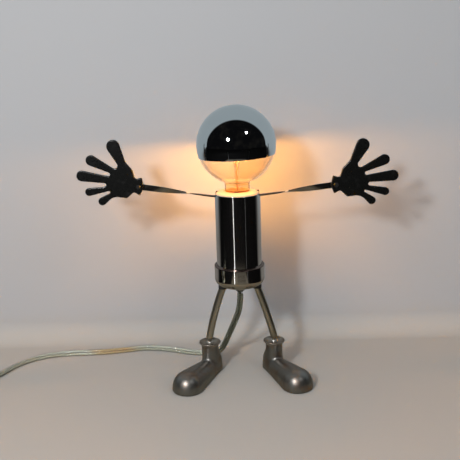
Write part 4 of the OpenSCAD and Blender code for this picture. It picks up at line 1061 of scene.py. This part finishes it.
stage = {
    # metres; a pair runs from where a tone begins to where it is full
    "wall": 0.129, "cove": 0.03, "floorFront": -3.0, "wallTop": 2.4, "side": 3.0,
    "upper": (0.0, 0.05), "aheadX": (0.32, 0.2), "aheadY": (-0.08, -0.2), "aheadShift": 0.18,
    "dark": (0.25, 0.31), "near": (0.22, 0.34), "barsLeft": (-0.085, -0.07), "barsRight": (0.2, 0.18),
    "lowWall": (0.10, 0.27), "fadedX": (0.15, 0.5), "fadedZ": (0.22, 0.14),
}
room = {
    "pale": (0.35, 0.395, 0.415), "dark": (0.004, 0.004, 0.0045), "dim": (0.011, 0.010, 0.009),
    "low": (0.19, 0.18, 0.168), "camera": (0.60, 0.60, 0.62), "light": (0.55, 0.55, 0.56),
    "floor": (0.335, 0.325, 0.305), "wall": (0.345, 0.35, 0.36),
    "near": ((0.21, 0.195, 0.155), (0.115, 0.107, 0.086)), "bar": (0.006, 0.006, 0.006),
    "far": (0.004, 0.004, 0.004), "faded": (0.02, 0.02, 0.02), "none": (0.0, 0.0, 0.0),
    "bars": ((0.4344, 0.006, 0.003), (0.412, 0.0065, 0.0035)),  # metres away, outer and inner half width
}


def stageGrid():
    # a sheet that runs over the floor, up a small cove and up the wall
    a = quarterTurn(12)
    cove, wall = stage["cove"], stage["wall"]
    line = np.vstack([[[stage["floorFront"], 0]], [[y, 0] for y in np.linspace(-0.6, wall - cove, 8)],
                      joined(wall - cove + cove * np.sin(a), cove - cove * np.cos(a))[1:],
                      [[wall, stage["wallTop"]]]])
    x = np.linspace(-stage["side"], stage["side"], 25)
    return joined(x[None], line[:, :1], line[:, 1:])


def stagePaint():
    # pale matt sheet: warmer below, cooler above, and open from behind; to metal alone it shows a painted
    # room: dark far out in front, a brown patch with two dark bars near the lamp, and a wall that glows pale,
    # dimmer low down and dark low at the far sides
    p = Paint("paleSheet")
    x, y, z = p.parts(p.coords())
    upper = p.spread(z, *stage["upper"])
    colour = p.mix(upper, room["floor"], room["wall"])
    aside = p.apart(x)
    ahead = p.spread(aside, *stage["aheadX"]) * p.spread(y, *stage["aheadY"])
    away = p.add("VectorMath", {"operation": "LENGTH"}, {0: p.coords((1, 1, 0))}).out("Value")
    dark = p.spread(away - ahead * stage["aheadShift"], *stage["dark"])
    near = p.mix(p.spread(away, *stage["near"]), *room["near"])
    far, close = (p.spread(p.apart(away, at), outer, inner) for at, outer, inner in room["bars"])
    bars = (far + close) * p.spread(x, *stage["barsLeft"]) * p.spread(x, *stage["barsRight"])
    near = p.mix(dark, p.mix(bars, near, room["bar"]), room["far"])
    inMetal = p.seenInMetal()
    wall = p.mix(p.spread(z, *stage["lowWall"]), room["low"], room["pale"])
    faded = p.spread(aside, *stage["fadedX"]) * p.spread(z, *stage["fadedZ"])
    p.set(Base_Color=p.mix(inMetal, colour, p.mix(upper, near, room["none"])), Roughness=0.95,
          Emission_Color=p.mix(inMetal * upper, room["none"], p.mix(faded, wall, room["faded"])),
          Emission_Strength=1.0)
    p.feed(p.shader, {"Specular IOR Level": 0.0})
    p.letThrough(p.add("NewGeometry").out("Backfacing"))
    return p.material


def makeStage():
    grid = stageGrid()
    rows, cols = grid.shape[:2]
    r, c = np.arange(rows - 1)[:, None] * cols, np.arange(cols - 1)[None]
    quads = joined(r + c, r + c + 1, r + cols + c + 1, r + cols + c).reshape(-1, 4)
    mesh = bpy.data.meshes.new("paleSheet")
    mesh.from_pydata(grid.reshape(-1, 3).tolist(), [], quads.tolist())
    mesh.shade_smooth()
    mesh.materials.append(stagePaint())
    addObject("paleSheet", mesh)


def makeWorld():
    # soft even light; metal sees a dark room in front and above, and a pale one behind
    world = bpy.data.worlds.new("softRoom")
    bpy.context.scene.world = world
    p = Paint("", world)
    ray = p.add("LightPath")
    x, y, z = p.parts(p.add("TexCoord").out("Generated"))
    behind = p.spread(y + 0.25 * p.add("Math", {"operation": "MAXIMUM"}, {0: z, 1: 0.0}).out(), 0.08, 0.16)
    dim = p.spread(p.noise(p.add("TexCoord").out("Generated"), 3.2, 4), 0.45, 0.75)
    inMetal = p.mix(behind, p.mix(dim, room["dark"], room["dim"]), room["pale"])
    plain = p.mix(ray.out("Is Camera Ray"), room["light"], room["camera"])
    back = p.tree.nodes["Background"]
    p.tree.links.new(p.mix(p.seenInMetal(), plain, inMetal).socket, back.inputs[0])
    back.inputs[1].default_value = 1.0


lamps = {
    # place and aim in metres, size in metres, power in watts, colour, and whether metal sees it
    "softKey": ((-1.0, -1.5, 1.7), (0, 0, 0.15), 1.3, 11, (1.0, 0.98, 0.97), False),
    "softFill": ((1.4, -1.2, 1.0), (0, 0, 0.15), 1.4, 5, (0.96, 0.98, 1.0), False),
    "sparkLeft": ((-0.450, -1.005, 0.743), (0, 0.011, 0.292), 0.14, 10.0, (1, 1, 1), True),
    "sparkRight": ((0.565, -0.745, 1.032), (0, 0.011, 0.292), 0.13, 0.8, (1, 1, 1), True),
    "bulbGlow": ((0.0, 0.011, 0.2802), None, 0.005, 2.0, (1.0, 0.42, 0.055), True),  # shines all round
}


def aimed(place, aim):
    # stands at its place and shines at its aim, with its own x axis level
    toward = unit(np.array(aim) - np.array(place))
    side = unit(np.cross(toward, [0.0, 0.0, 1.0]))
    return standing(place, side, np.cross(side, toward), -toward)


def makeLamps():
    for name, (place, aim, size, power, colour, seen) in lamps.items():
        data = bpy.data.lights.new(name, "AREA" if aim else "POINT")
        data.energy, data.color = power, colour
        made = addObject(name, data)
        if aim:
            data.shape, data.size = "DISK", size
            made.matrix_world = aimed(place, aim)
        else:
            data.shadow_soft_size = size
            made.matrix_world = Matrix.Translation(place)
        made.visible_camera = False
        made.visible_glossy = made.visible_transmission = seen


gleam = {"place": (-0.62, -0.60, 0.60), "aim": (-0.08, 0.06, 0.0), "size": (0.9, 0.05), "power": 6.0}


def onlyFor(lamp, name, pieces):
    # the lamp lights these pieces alone
    lit = bpy.data.collections.new(name)
    for piece in pieces:
        lit.objects.link(piece)
    lamp.light_linking.receiver_collection = lit


def makeGleam():
    # a long low lamp that only the flex sees, for the streaks along it
    data = bpy.data.lights.new("flexGleam", "AREA")
    data.shape, data.energy = "RECTANGLE", gleam["power"]
    data.size, data.size_y = gleam["size"]
    made = addObject("flexGleam", data)
    made.matrix_world = aimed(gleam["place"], gleam["aim"])
    made.visible_camera = False
    onlyFor(made, "clearFlex", (powerCord, *coreParts))


strips = {
    # the lamp that each points to, and its glow
    "stripLeft": ("sparkLeft", 6.0), "stripRight": ("sparkRight", 0.2),
    "near": 0.3, "far": 1.5, "spread": 0.008, "height": 0.002,  # metres, and half width for each metre away
}


def makeStrip(name):
    # a thin glowing wedge on the floor that only the body sees: it draws one upright line down the tube
    lamp, glow = strips[name]
    foot = stand[:2] * mm
    reach = np.array(lamps[lamp][0][:2]) - foot
    bearing = math.atan2(reach[0], -reach[1])
    foot = foot + torso["radius"] * mm * np.array([math.sin(bearing / 2), -math.cos(bearing / 2)])
    ahead = np.array([math.sin(bearing), -math.cos(bearing)])
    across = strips["spread"] * np.array([ahead[1], -ahead[0]])
    ends = ((strips["near"], -1), (strips["near"], 1), (strips["far"], 1), (strips["far"], -1))
    corners = [foot + d * (ahead + side * across) for d, side in ends]
    mesh = bpy.data.meshes.new(name)
    mesh.from_pydata([(*c.tolist(), strips["height"]) for c in corners], [], [(0, 1, 2, 3)])
    p = Paint(name)
    glowing = p.mix(p.noise(p.coords(), 3), (1, 1, 1), (0.96, 0.96, 1.0))
    p.set(Base_Color=(0, 0, 0, 1), Emission_Color=glowing, Emission_Strength=glow)
    mesh.materials.append(p.material)
    made = addObject(name, mesh)
    made.visible_camera = made.visible_diffuse = made.visible_transmission = made.visible_shadow = False
    onlyFor(made, name + "Metal", (torsoTube, baseCup))


makeStage()
makeWorld()
makeLamps()
makeStrip("stripLeft")
makeStrip("stripRight")
makeGleam()
bpy.context.scene.view_settings.view_transform = "Standard"
print("stage lit")
